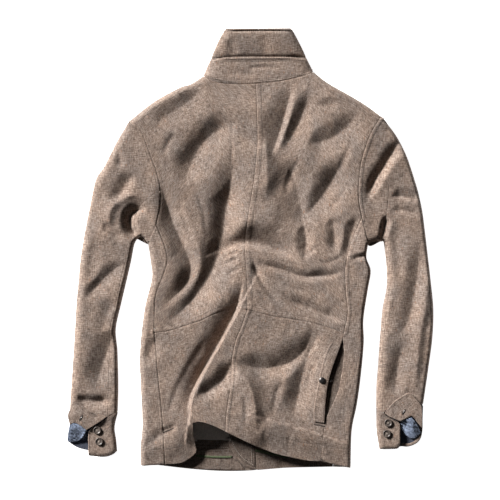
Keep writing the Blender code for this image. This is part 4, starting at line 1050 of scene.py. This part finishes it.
front_left = patch(front_left_top, front_left_hem, front_left_edge, left_free, FRONT_CELL)
front_right = patch(front_right_top, front_right_hem, right_free, front_right_edge, FRONT_CELL)
for name, grid, over in (("front_left", front_left, 0), ("front_right", front_right, 1)):
    top, low = raised(drawn_in(grid, 0.1), front_level(over), FRONT_CLOTH)
    creases = 0.45 * np.clip(ripple(grid[..., 0] * 1.3, grid[..., 1] * 1.3, 4.0), 0, 1)
    low[..., 2] += creases
    # The wall is built from below, so that its outer face is the one on the surface.
    # Inside the fronts, the lining's colour carries painted light, and the tweed below TURN_DOWN is a darker
    # copy with painted shade.
    cloth(name, low[:, ::-1], top[:, ::-1], (TWEED, LINING_PAINTED_LIGHT, TWEED_HEM_PAINTED_SHADE),
          lambda x, y: np.where(MIDDLE_DOWN - y / STEP > TURN_DOWN, 2, 1))

# What shows of the facings, inside the lifted hem, in darker copies of the tweed with painted shade.
FACINGS = {
    "facing_left": ([(168, 450), (200, 450), (230.5, 450)],
                    [(168, 466), (200, 469.5), (245, 470.8)], 3.3),
    "facing_right": ([(226.5, 428), (240, 428), (254.8, 428)],
                     [(236, 455.5), (244, 463), (254.8, 467.5)], 5.7),
}
for name, (upper, lower, level) in FACINGS.items():
    top_edge, low_edge = route(upper), route(lower)
    sides = [np.stack([top_edge[k], low_edge[k]]) for k in (0, -1)]
    grid = patch(top_edge, low_edge, sides[0], sides[1], 2.0)
    outer, inner = raised(grid, lambda x, y: level + 0.25 * ripple(x * 2, y * 2), 1.0)
    look = TWEED_HEM_PAINTED_SHADE if name == "facing_left" else TWEED_DEEP_PAINTED_SHADE
    cloth(name, outer, inner, (look,), nose=0.5)

# The sleeves.
SLEEVE_COUNT = 270   # sections of a sleeve
FORE_SEAM = 0.55     # where the seam underneath lies, as a share from the outer to the inner edge
# The sleeves' inner faces are the darker copy of the tweed, with painted shade.
SLEEVE_LOOKS = (TWEED, TWEED_INSIDE_PAINTED_SHADE)

for side in ("left", "right"):
    (outer_edge, hind, inner_edge), _ = SLEEVES[side]
    height = sleeve_height(side)
    outer_line = shortened(rows_at(outer_edge, SLEEVE_COUNT), 0.1)
    armhole = route(ARMHOLE_LEFT if side == "left" else ARMHOLE_RIGHT)
    hind_line = onto(rows_at(hind, SLEEVE_COUNT), armhole, 9.0)
    inner_line = onto(rows_at(inner_edge, SLEEVE_COUNT), armhole, 9.0)
    row = np.arange(SLEEVE_COUNT) / (SLEEVE_COUNT - 1) * (len(SLEEVE_LEFT) - 1)
    reach = 1.0 - (1.0 - FORE_SEAM) * ease((row - 2.6) / 3.0)
    across = inner_line - outer_line
    wide = np.linalg.norm(across, axis=1, keepdims=True)
    across = across / wide
    fore = outer_line + across * wide * reach[:, None]
    seam_side = hind_line - across * np.minimum(0.12, 0.1 * wide)
    far_top = fore - across * np.minimum(1.0, 0.3 * wide)
    wrapped("top_sleeve_" + side, seam_side, outer_line, far_top, height, SLEEVE_LOOKS,
            90.0, flip=side == "left", seed=1.0)
    first = int(np.argmax(row > 2.92))
    strip = slice(first, None)
    strip_in = hind_line[strip] + across[strip] * 0.12
    strip_out = inner_line[strip] - across[strip] * 0.15
    far_under = fore[strip] + across[strip] * 0.4
    wrapped("under_sleeve_" + side, strip_in, strip_out, far_under, height, SLEEVE_LOOKS,
            26.0, flip=side == "right", seed=3.0)

# The collar stands up from its band, and both run round to the front underneath.
# left across, down, right across, down, height of the top layer
LEAF_ROWS = [
    (224.5, 29.6, 292.5, 29.2, 15.0),
    (219.5, 38, 297.0, 37.6, 15.0),
    (214.5, 49, 302.5, 48.4, 12.5),
    (211.0, 57.95, 306.3, 57.15, 9.0),
]
BAND_ROWS = [
    (210.9, 58.2, 306.4, 57.4, 14.5),
    (207.0, 66.5, 310.0, 64.5, 15.5),
    (203.4, 75.4, 313.4, 71.4, 16.5),
]
# The ditches and rims of the collar, in the folds' columns.
COLLAR_FOLDS = [
    ("top ditch", 3.5, 4.5, -4, 1.3, [(222, 33), (230, 31.4), (258, 30.6), (284, 31.0), (296, 33)]),
    ("fold ditch", 7, 2.0, -2.6, 1.2,
        [(206, 61), (220, 57.6), (240, 56.6), (270, 56.6), (294, 57.0), (312, 60)]),
    ("fold ditch right", 8, 3, -4.5, 1.2, [(284, 56), (296, 57), (304, 58), (314, 62)]),
    ("fold ditch left", 7, 3, -2.5, 1.2, [(204, 63), (214, 59.5), (226, 57.5)]),
    ("band rim", 4.0, 5.0, 1.6, 1.2, [(206, 62), (222, 59.4), (258, 58.6), (292, 58.8), (312, 62)]),
    ("band stitch", 2.0, 2.0, -1.0, 1.2, [(208, 64), (222, 61.8), (258, 61.2), (290, 61.4), (308, 64)]),
    ("band mark", 8, 6, -2.6, 1.3, [(243, 69.5), (255, 68), (268, 67.5), (282, 69)]),
    ("band hollow", 12, 12, -1.6, 1.6, [(222, 72), (240, 74), (262, 74)]),
    ("neck stitch", 2.2, 2.2, -1.3, 1.2,
        [(206, 74.6), (220, 79), (235, 81), (256, 81), (280, 78.8), (300, 74.6), (312, 70)]),
    ("leaf wave", 20, 20, -1.6, 1.7, [(262, 34), (266, 46), (262, 55)]),
    ("leaf dip", 16, 14, -1.8, 1.7, [(234, 38), (232, 47), (238, 55)]),
]
COLLAR_TURN = 0.14   # share of the width over which the collar turns down at each side
COLLAR_COLS = 96
COLLAR_UNDER = 26    # columns of each half underneath
COLLAR_RIM = 4.4     # top of the cloth where it turns down


def under_part(left, right, up, shares):
    """Outer and inner face of the layer underneath, over these shares of the way across."""
    spots = left + (right - left) * shares[:, None]
    spots[:, 1] += up
    return [np.column_stack([spots, np.full(len(spots), z)]) for z in (0.0, UNDER_CLOTH)]


def turn_part(corner, hand, up, sections):
    """Outer and inner face of the turn at one edge."""
    table = np.array(sections)
    y = corner[1] + up * table[:, 0] / TURN[-1][0]
    return [np.column_stack([corner[0] + hand * table[:, k], y, table[:, k + 1]]) for k in (0, 2)]


def collar_piece(name, rows, seam_line, front_up, reach):
    """A flattened ring, open at the front: rows are its sections from the top down."""
    fine = smooth(rows, 12)
    run = run_of(fine[:, 1:2])
    places = cells(run[-1] * STEP, 1.9) * run[-1]
    outer = []
    inner = []
    seam_run = None if seam_line is None else route(seam_line)
    back = (1 - np.cos(np.linspace(0.06, 0.94, COLLAR_COLS) * np.pi)) / 2
    back = back * 0.5 + np.linspace(0.012, 0.988, COLLAR_COLS) * 0.5
    for place in places:
        row = [np.interp(place, run, fine[:, k]) for k in range(5)]
        left = mm([row[0:2]])[0]
        right = mm([row[2:4]])[0]
        share_down = place / run[-1]
        up = front_up * (1 - share_down)
        spots = left + (right - left) * back[:, None]
        if seam_run is not None:
            goal = np.interp(spots[:, 0], seam_run[:, 0], seam_run[:, 1]) + 0.4
            spots[:, 1] -= (spots[:, 1] - goal) * share_down ** 2
        t = np.minimum(np.minimum(back, 1 - back) / COLLAR_TURN, 1.0)
        top = row[4] + relief(spots[:, 0], spots[:, 1], COLLAR_FOLDS)
        heights = COLLAR_RIM + (top - COLLAR_RIM) * np.sqrt(1 - (1 - t) ** 2)
        parts = [
            under_part(left, right, up, np.linspace(reach, 0.035, COLLAR_UNDER)),
            turn_part(left, 1, up, TURN[::-1]),
            [np.column_stack([spots, heights - down]) for down in (0.0, CLOTH)],
            turn_part(right, -1, up, TURN),
            under_part(left, right, up, np.linspace(0.965, 1 - reach, COLLAR_UNDER)),
        ]
        outer.append(np.vstack([part[0] for part in parts]))
        inner.append(np.vstack([part[1] for part in parts]))
    return cloth(name, np.array(outer), np.array(inner), (TWEED, TWEED_INSIDE_PAINTED_SHADE), plan=True)


collar_piece("collar", LEAF_ROWS, None, 3.6, 0.498)
collar_piece("collar_band", BAND_ROWS, NECK_SEAM, 0.0, 0.497)

# The cuffs. Edges: top, bottom, left and right.
CUFFS = {
    "cuff_tab_left": (
        [(107.8, 417.0), (112.7, 414.4), (117.1, 412.2)],
        [(88.2, 456.2), (103.4, 457.3), (112, 455.2), (116.8, 451.4)],
        [(107.8, 417.0), (98, 424.6), (89.0, 431.0), (88.2, 445), (88.2, 456.2)],
        [(117.1, 412.2), (113.9, 427.7), (115.7, 439.7), (116.8, 451.4)],
    ),
    "cuff_flap_left": (
        [(72.8, 400.0), (81.5, 404.6), (87.6, 409.6), (93.6, 412.6), (107.4, 416.6)],
        [(70, 424.4), (74.6, 422.6), (80, 424.6), (87.0, 429.8)],
        [(72.8, 400.0), (71, 406), (68, 415.2), (70, 424.4)],
        [(107.4, 416.6), (97.6, 423.2), (87.0, 429.8)],
    ),
    "cuff_lining_left": (
        [(69.9, 424.7), (74.6, 422.95), (80, 424.95), (86.9, 430.2)],
        [(66.8, 441.4), (70.5, 442.4), (78.2, 441.2)],
        [(69.9, 424.7), (68.2, 432), (66.8, 441.4)],
        [(86.9, 430.2), (83, 436.8), (78.2, 441.2)],
    ),
    "cuff_under_left": (
        [(69.6, 409.5), (90, 411), (117.3, 412.95)],
        [(67, 442), (76.3, 447.8), (88, 451), (104, 455), (116.6, 451.2)],
        [(69.6, 409.5), (68.4, 415.2), (69, 430), (67, 442)],
        [(117.3, 412.95), (114.1, 427.7), (115.5, 439.7), (116.6, 451.2)],
    ),
    "cuff_tab_right": (
        [(376.6, 407.6), (380.0, 410.0), (383.4, 412.6)],
        [(379.6, 449.6), (390, 449.5), (397.5, 449), (400.2, 446.6)],
        [(376.6, 407.6), (376.5, 419), (376.8, 430.4), (379.6, 449.6)],
        [(383.4, 412.6), (391, 418.6), (399.4, 423), (400.2, 434), (400.2, 446.6)],
    ),
    "cuff_flap_right": (
        [(384.6, 413.2), (392.6, 402.6), (400, 397), (409, 392.6), (414.6, 397.6)],
        [(388.8, 416.2), (394, 418.8), (400.6, 420.8), (407, 417.6), (412, 416), (417, 422), (421.9, 428)],
        [(384.6, 413.2), (388.8, 416.2)],
        [(414.6, 397.6), (420.9, 405), (422.2, 414), (421.9, 428)],
    ),
    "cuff_lining_right": (
        [(400.8, 422.0), (406.6, 418.9), (411.6, 417.3)],
        [(401.6, 429.6), (408.2, 437), (415, 438.8), (421.2, 433)],
        [(400.8, 421.8), (401.6, 429.6)],
        [(411.6, 417.3), (416.3, 423.3), (421.2, 433)],
    ),
    "cuff_under_right": (
        [(376.5, 408.35), (399, 406.35), (423.2, 404.35)],
        [(379.8, 449.2), (400, 447.3), (416, 444.6)],
        [(376.5, 408.35), (376.9, 430.4), (379.8, 449.2)],
        [(423.2, 404.35), (422.2, 420), (421.2, 437), (416, 444.6)],
    ),
}
CUFF_LEVELS = {"cuff_tab": 12.0, "cuff_flap": 24.0, "cuff_lining": 11.5, "cuff_under": 2.0}
# Where a turned corner leaves its sleeve.
FLAP_HINGES = {
    "left": route([(97.0, 413.6), (108.0, 416.8)]),
    "right": route([(380.0, 411.0), (384.0, 413.0)]),
}


def cuff_height(kind, side, edges, seam):
    level = CUFF_LEVELS[kind]
    sleeve = sleeve_height(side)

    def height(x, y):
        if kind == "cuff_under":
            return np.full(np.shape(x), level)
        if kind == "cuff_flap":
            hinge = 1 - ease(away(x, y, FLAP_HINGES[side])[0] / 16.0)
            return sleeve(x, y) + 0.9 + CLOTH - 2.2 * hinge
        if kind == "cuff_lining":
            t = np.clip(away(x, y, edges[0])[0] / 26.0, 0, 1)
            slope = 0.51 * x + 0.86 * y
            crumple = 0.95 * np.sin(2 * np.pi * slope / 6.0 + 2.6 * ripple(x * 4, y * 4, 1.0))
            crumple = (crumple + 0.6 * ripple(x * 8, y * 7, 1.0)) * ease(t * 4)
            return RIM + 2.0 + (sleeve(x, y) + 2.2 - RIM - 2.0) * t + crumple
        z = np.full(np.shape(x), level)
        for edge in edges:
            t = np.clip(away(x, y, edge)[0] / 9.0, 0, 1)
            z = RIM + 0.4 + (z - RIM - 0.4) * np.sqrt(1 - (1 - t) ** 2)
        start = 1 - ease(away(x, y, seam)[0] / 13.0)
        return z * (1 - start) + np.maximum(sleeve(x, y) - 0.1, z - 4.0) * start

    return height


CUFF_LOOKS = {
    "cuff_tab": (TWEED, CHAMBRAY),
    "cuff_flap": (TWEED, CHAMBRAY),
    "cuff_lining": (CHAMBRAY, CHAMBRAY),
    # The under layer's top is the dark chambray copy, painted shade.
    "cuff_under": (CHAMBRAY_PAINTED_SHADE, TWEED),
}
carriers = {}
for name, (top, bottom, left, right) in CUFFS.items():
    kind, side = name.rsplit("_", 1)
    grid = patch(route(top), route(bottom), route(left), route(right), 1.5)
    free = [smooth(mm(bottom), 5), smooth(mm(right if side == "left" else left), 5)]
    looks = CUFF_LOOKS[kind]
    thick = 2.0 if kind == "cuff_under" else CLOTH
    carriers[name] = cuff_height(kind, side, free, route(top))
    outer, inner = raised(grid, carriers[name], thick)
    cloth(name, outer, inner, looks)

# Pocket welt, on the back skirt beside its opening.
WELT_CLOTH = 1.6
WELT = (
    [(331.5, 341), (336, 343), (340, 345.5)],
    [(313.4, 421), (318.6, 421.6), (324, 422.2)],
    [(331.5, 341), (325.5, 352), (320.5, 370), (316.5, 390), (313.6, 406), (313.4, 421)],
    [(340, 345.5), (331.0, 370.5), (327.0, 387), (325.0, 405), (324, 422.2)],
)


def welt_height(x, y):
    return back_height(x, y) + 0.9 + WELT_CLOTH


carriers["pocket_welt"] = welt_height
welt_grid = patch(*(route(edge) for edge in WELT), 1.6)
outer, inner = raised(welt_grid, welt_height, WELT_CLOTH)
cloth("pocket_welt", outer, inner, (TWEED,))

# Buttons and the pocket's snap, turned, with thread across the buttons between the places of their holes.
# radius, height
BUTTON_PROFILE = [(0.0, 0.0), (6.4, 0.0), (7.3, 0.5), (7.75, 1.5), (7.6, 2.4), (7.0, 3.0),
                  (6.3, 3.05), (5.7, 2.75), (5.0, 2.1), (4.0, 1.85), (0.0, 1.8)]
SNAP_PROFILE = [(0.0, 0.0), (5.4, 0.0), (6.2, 0.5), (6.2, 0.9), (5.6, 1.5), (4.8, 1.6),
                (4.4, 1.9), (3.2, 2.3), (1.6, 2.4), (0.0, 2.4)]
# across, down, what carries it, profile
STUDS = {
    "button_left_upper": (97.2, 430.3, "cuff_tab_left", BUTTON_PROFILE),
    "button_left_lower": (99.2, 441.4, "cuff_tab_left", BUTTON_PROFILE),
    "button_right_upper": (388.2, 422.8, "cuff_tab_right", BUTTON_PROFILE),
    "button_right_lower": (386.8, 433.6, "cuff_tab_right", BUTTON_PROFILE),
    "pocket_snap": (321.8, 379.8, "pocket_welt", SNAP_PROFILE),
}


def put(name, points, faces, look):
    """A small part of one material, from points in millimetres, on the garment's body."""
    mesh = bpy.data.meshes.new(name)
    mesh.from_pydata((np.array(points) * 0.001).tolist(), [], faces)
    mesh.polygons.foreach_set("use_smooth", np.ones(len(faces), bool))
    mesh.materials.append(look)
    made = linked(name, mesh)
    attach(made, "root")
    return made


def turned(name, centre_at, profile, look, sides=48):
    """A round piece, closed at both ends of its profile."""
    angles = np.linspace(0, 2 * np.pi, sides, endpoint=False)
    points = []
    faces = []
    rings = []
    for radius, z in profile:
        if radius == 0.0:
            rings.append([len(points)])
            points.append((0.0, 0.0, z))
        else:
            rings.append(list(range(len(points), len(points) + sides)))
            points.extend((radius * np.cos(a), radius * np.sin(a), z) for a in angles)
    for low, high in zip(rings, rings[1:]):
        for i in range(sides):
            j = (i + 1) % sides
            if len(low) == 1:
                faces.append((low[0], high[j], high[i]))
            elif len(high) == 1:
                faces.append((low[i], low[j], high[0]))
            else:
                faces.append((low[i], low[j], high[j], high[i]))
    return put(name, np.array(points) + np.array(centre_at), faces, look)


def rods(name, spans, radius, look, sides=7):
    """Short rounded rods, as one piece: spans are pairs of end points in millimetres."""
    points = []
    faces = []
    rings = ((-0.5, 0.35), (-0.36, 0.85), (0.0, 1.0), (0.36, 0.85), (0.5, 0.35))
    angles = np.linspace(0, 2 * np.pi, sides, endpoint=False)
    for a, b in spans:
        a, b = np.array(a, float), np.array(b, float)
        axis = b - a
        size = np.linalg.norm(axis)
        axis = axis / max(size, 1e-6)
        helper = np.array([0.0, 0.0, 1.0]) if abs(axis[2]) < 0.9 else np.array([1.0, 0.0, 0.0])
        side = np.cross(axis, helper)
        side = side / np.linalg.norm(side)
        up = np.cross(side, axis)
        start = len(points)
        for place, share in rings:
            middle = (a + b) / 2 + axis * size * place
            for angle in angles:
                points.append(middle + radius * share * (np.cos(angle) * side + np.sin(angle) * up))
        for r in range(len(rings) - 1):
            for i in range(sides):
                j = (i + 1) % sides
                base = start + r * sides
                faces.append((base + i, base + j, base + sides + j, base + sides + i))
        faces.append(tuple(start + i for i in range(sides))[::-1])
        last = start + (len(rings) - 1) * sides
        faces.append(tuple(last + i for i in range(sides)))
    return put(name, points, faces, look)


HOLE_OUT = 1.7    # a hole's place from the button's middle
THREAD_UP = 2.1   # height of its thread
THREAD_R = 0.3    # half the distance between the two strands
for name, (across_at, down_at, carrier, profile) in STUDS.items():
    ring = np.linspace(0, 2 * np.pi, 12, endpoint=False)
    reach = max(r for r, z in profile)
    x0, y0 = mm([(across_at, down_at)])[0]
    x_ring = np.append(x0 + reach * np.cos(ring), x0)
    y_ring = np.append(y0 + reach * np.sin(ring), y0)
    base = float(carriers[carrier](x_ring, y_ring).max()) + 0.3
    snap = name == "pocket_snap"
    made = turned(name + "_turned", (x0, y0, base), profile, METAL if snap else HORN)
    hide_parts(name)
    if not snap:
        floor = base + THREAD_UP
        corners = [(sx * HOLE_OUT, sy * HOLE_OUT) for sx, sy in ((-1, -1), (-1, 1), (1, 1), (1, -1))]
        spans = []
        for (ax, ay), (bx, by) in ((corners[0], corners[2]), (corners[1], corners[3])):
            for shift in (-THREAD_R, THREAD_R):
                spans.append(((x0 + ax + shift, y0 + ay, floor), (x0 + bx + shift, y0 + by, floor)))
        rods(name + "_thread", spans, 0.32, THREAD_LIGHT)

# Stitches.

STITCH = 2.7   # length of a stitch
PITCH = 3.7    # and from one to the next


def stitch_spans(line, sunk=0.02):
    """Pairs of ends of the stitches along a line of points in space."""
    run = run_of(line)
    starts = np.arange(0.8, run[-1] - STITCH, PITCH)
    ends = [np.stack([np.interp(starts + gone, run, line[:, k]) for k in range(3)], 1)
            for gone in (0, STITCH)]
    for end in ends:
        end[:, 2] -= sunk
    return list(zip(*ends))


def on_surface(places, height, offset=0.0, hand=0):
    """A line of places laid on a surface, moved to one hand of its route by offset."""
    line = route(places)
    line = along(line, np.linspace(0, 1, max(12, int(run_of(line)[-1] / 3))))
    if hand:
        line = line + normals(line) * offset * hand
    return np.column_stack([line, height(line[:, 0], line[:, 1])])


spans = []
for _, hand, width, places in SEWN:
    spans += stitch_spans(on_surface(places, back_height, width, hand))
for _, _, _, places in SURFACE_ROWS:
    spans += stitch_spans(on_surface(places, back_height))
rods("stitches_body", spans, 0.42, THREAD)


def edge_row(node, edge, inset, first=0, last=None):
    """A line over a piece, that many millimetres in from its left, right, top or bottom edge."""
    outer = surfaces[node][0]
    outer = outer[:, first:last]
    u, v = lengths_of(outer)
    across_run = u[len(u) // 2]
    down_run = v[:, v.shape[1] // 2]
    if edge == "left":
        line = outer[:, np.abs(across_run - inset).argmin()]
    elif edge == "right":
        line = outer[:, np.abs(across_run[-1] - across_run - inset).argmin()]
    elif edge == "top":
        line = outer[np.abs(down_run - inset).argmin()]
    else:
        line = outer[np.abs(down_run[-1] - down_run - inset).argmin()]
    run = run_of(line)
    keep = (run > inset * 0.8) & (run < run[-1] - inset * 0.8)
    return line[keep]


# inset, node, its stitched edges
EDGE_ROWS = [
    (2.6, "cuff_tab_left", "left bottom right"),
    (2.6, "cuff_flap_left", "top left bottom"),
    (2.6, "cuff_tab_right", "left bottom right"),
    (2.6, "cuff_flap_right", "top right bottom"),
    (2.8, "pocket_welt", "left right bottom"),
]
# The collar's rows run over its back only: node, edge, inset.
COLLAR_ROWS = [("collar", "top", 3.4), ("collar_band", "top", 3.2), ("collar_band", "top", 8.0),
               ("collar_band", "bottom", 2.4), ("collar_band", "bottom", 7.0)]
spans = []
for inset, node, edges in EDGE_ROWS:
    for edge in edges.split():
        spans += stitch_spans(edge_row(node, edge, inset))
ends = COLLAR_UNDER + len(TURN)
for node, edge, inset in COLLAR_ROWS:
    spans += stitch_spans(edge_row(node, edge, inset, ends, -ends))
rods("stitches_edges", spans, 0.42, THREAD)


def ribbon(name, places, half, up, look):
    """A narrow flat tape along a route."""
    line = route(places)
    normal = normals(line)
    grid = line[:, None] + normal[:, None] * np.array([half, half / 3, -half / 3, -half])[None, :, None]
    outer, inner = raised(grid, lambda x, y: up + 0.3 * ripple(x * 3, y * 3), 0.6)
    made = build(name, outer, inner, (look,))
    return made


ribbon("tape_left", [(196, 456.2), (208, 457.2), (221, 457.6), (232, 457.4)], 2.0, 4.3, TAPE)
ribbon("tape_right", [(255.6, 450.4), (266, 453.0), (277, 455.2), (288, 457.2)], 3.0, 5.6,
       TAPE)
ribbon("cuff_lip_right",
       [(401.8, 445.2), (408, 445.6), (415, 443.2), (419.6, 438.4), (421.4, 430), (421.6, 419), (422.0, 406)],
       2.9, 4.4, TWEED)
# Rows of stitches inside the hem: height, then the route.
INSIDE_ROWS = [
    (3.1, [(190, 443.6), (203, 444.4), (216, 444.8), (227, 444.8)]),
    (3.1, [(192, 446.8), (203, 447.4), (216, 447.9), (228, 448.0)]),
    (6.3, [(229.6, 431), (231.8, 440), (235.8, 449.5), (242.5, 458), (250, 463.6), (254, 465.4)]),
    (6.3, [(251.6, 440), (251.8, 452), (252, 463)]),
]
spans = []
for up, places in INSIDE_ROWS:
    line = route(places)
    spans += stitch_spans(np.column_stack([line, np.full(len(line), up)]))
rods("stitches_inside", spans, 0.45, THREAD_LIGHT)


def across_spans(line, wide, pitch, sunk=0.0):
    """Close stitches across a line, as on a bar-tack."""
    run = run_of(line)
    places = along(line, np.arange(0, run[-1], pitch) / run[-1])
    normal = np.column_stack([normals(places[:, :2]), np.zeros(len(places))])
    middle = places - np.array([0.0, 0.0, sunk])
    return list(zip(middle - normal * wide / 2, middle + normal * wide / 2))


TACKS = [
    [(163.4, 431.8), (168.5, 429.8), (174.0, 427.6)],
    [(313.8, 423.4), (319, 424.3), (324.2, 425.4)],
    [(320.4, 458), (321.4, 459.2), (322, 460.4)],
]
spans = []
for places in TACKS:
    spans += across_spans(on_surface(places, lambda x, y: back_height(x, y) + 0.5), 2.4, 0.8)
rods("tacks", spans, 0.42, THREAD)

# Buttonholes in the turned-back corners: a ring of close stitches round a slit, whose dark opening is painted
# shade, drawn as a dark metal rod.
RING_OUT = 6.4    # half the length of the ring
RING_UP = 1.7     # and half its width
SLIT_OUT = 4.4    # half the length of the slit
RING_POINTS = 40
# across, down, slope in degrees, what carries it
HOLES = [(81.2, 417.8, 62.0, "cuff_flap_left"), (403.4, 411.8, 58.0, "cuff_flap_right")]
spans = []
slit_shades = []
for across_at, down_at, slope, carrier in HOLES:
    x0, y0 = mm([(across_at, down_at)])[0]
    lean = np.radians(slope)
    turn = np.linspace(0, 2 * np.pi, RING_POINTS)
    for reach_out, reach_up, store in ((RING_OUT, RING_UP, spans), (SLIT_OUT, 0.0, slit_shades)):
        px = reach_out * np.cos(turn) * np.cos(lean) - reach_up * np.sin(turn) * np.sin(lean) + x0
        py = reach_out * np.cos(turn) * np.sin(lean) + reach_up * np.sin(turn) * np.cos(lean) + y0
        pz = carriers[carrier](px, py) + 0.1
        ring = np.column_stack([px, py, pz])
        if store is spans:
            store += across_spans(ring, 1.5, 0.75)
        else:
            store.append((ring[0], ring[RING_POINTS // 2]))
rods("buttonhole_stitches", spans, 0.36, THREAD)
# Painted shade: dark rods stand for the openings of the slits.
rods("buttonhole_slit_shades", slit_shades, 0.95, METAL)

# The other half of the snap shows dark inside the pocket's opening, under the lining.
STUD_PROFILE = [(radius * 0.5, z) for radius, z in SNAP_PROFILE]
stud_x, stud_y = mm([(330.8, 380.2)])[0]
stud_up = float(back_height(np.array([stud_x]), np.array([stud_y]))[0]) - CLOTH - STUD_PROFILE[-1][1]
turned("pocket_stud", (stud_x, stud_y, stud_up), STUD_PROFILE, METAL)

# The floor, the light and the camera, straight above.

FLOOR_HALF = 6.0       # metres
FLOOR_UP = -0.0006     # just clear of the cloth
floor_mesh = bpy.data.meshes.new("floor")
floor_corners = [(x * FLOOR_HALF, y * FLOOR_HALF, FLOOR_UP) for x, y in ((-1, -1), (1, -1), (1, 1), (-1, 1))]
floor_mesh.from_pydata(floor_corners, [], [(0, 1, 2, 3)])
floor_object = linked("floor", floor_mesh)
floor_look = Look("pale_floor")
place = floor_look.add("ShaderNodeTexCoord").outputs["Object"]
grain = floor_look.noise(place, (400.0, 400.0, 400.0), 2.0, 0.5)
pale = floor_look.ramp(grain, [(0.3, (0.90, 0.90, 0.90)), (0.7, (0.93, 0.93, 0.93))])
floor_look.finish(pale, None, rough=0.8)
floor_look.shader.inputs["Emission Color"].default_value = (1.0, 1.0, 1.0, 1.0)
floor_look.shader.inputs["Emission Strength"].default_value = 1.0
floor_mesh.materials.append(floor_look.material)


def lamp(name, kind, place, energy):
    """A lamp that looks from its place at the garment."""
    data = bpy.data.lights.new(name, kind)
    data.energy = energy
    made = linked(name, data)
    made.location = place
    made.rotation_euler = (-Vector(place)).to_track_quat("-Z", "Y").to_euler()
    return data


# A low sun from the upper left, and a weak panel from the other side.
key = lamp("key", "SUN", (-2.45, 1.95, 1.34), 10.6)
key.angle = 0.2
key.color = (1.0, 0.985, 0.965)
fill = lamp("fill", "AREA", (0.6, -0.6, 3.2), 1.5)
fill.size = 2.5

world = bpy.data.worlds.new("studio")
bpy.context.scene.world = world
world.use_nodes = True
background = world.node_tree.nodes["Background"]
background.inputs["Color"].default_value = (1.0, 1.0, 1.0, 1.0)
background.inputs["Strength"].default_value = 0.035

PICTURE = 500          # steps across and down
DISTANCE = 3.0         # metres, from the level at which the scale holds
SCALE_LEVEL = 0.012
SENSOR = 36.0
camera_data = bpy.data.cameras.new("camera")
camera_data.sensor_width = SENSOR
camera_data.lens = SENSOR * DISTANCE / (PICTURE * STEP * 0.001)
camera = linked("camera", camera_data)
centre_x, centre_y = mm([(PICTURE / 2, PICTURE / 2)])[0] * 0.001
camera.location = (centre_x, centre_y, DISTANCE + SCALE_LEVEL)
bpy.context.scene.camera = camera
bpy.context.scene.view_settings.view_transform = "Standard"
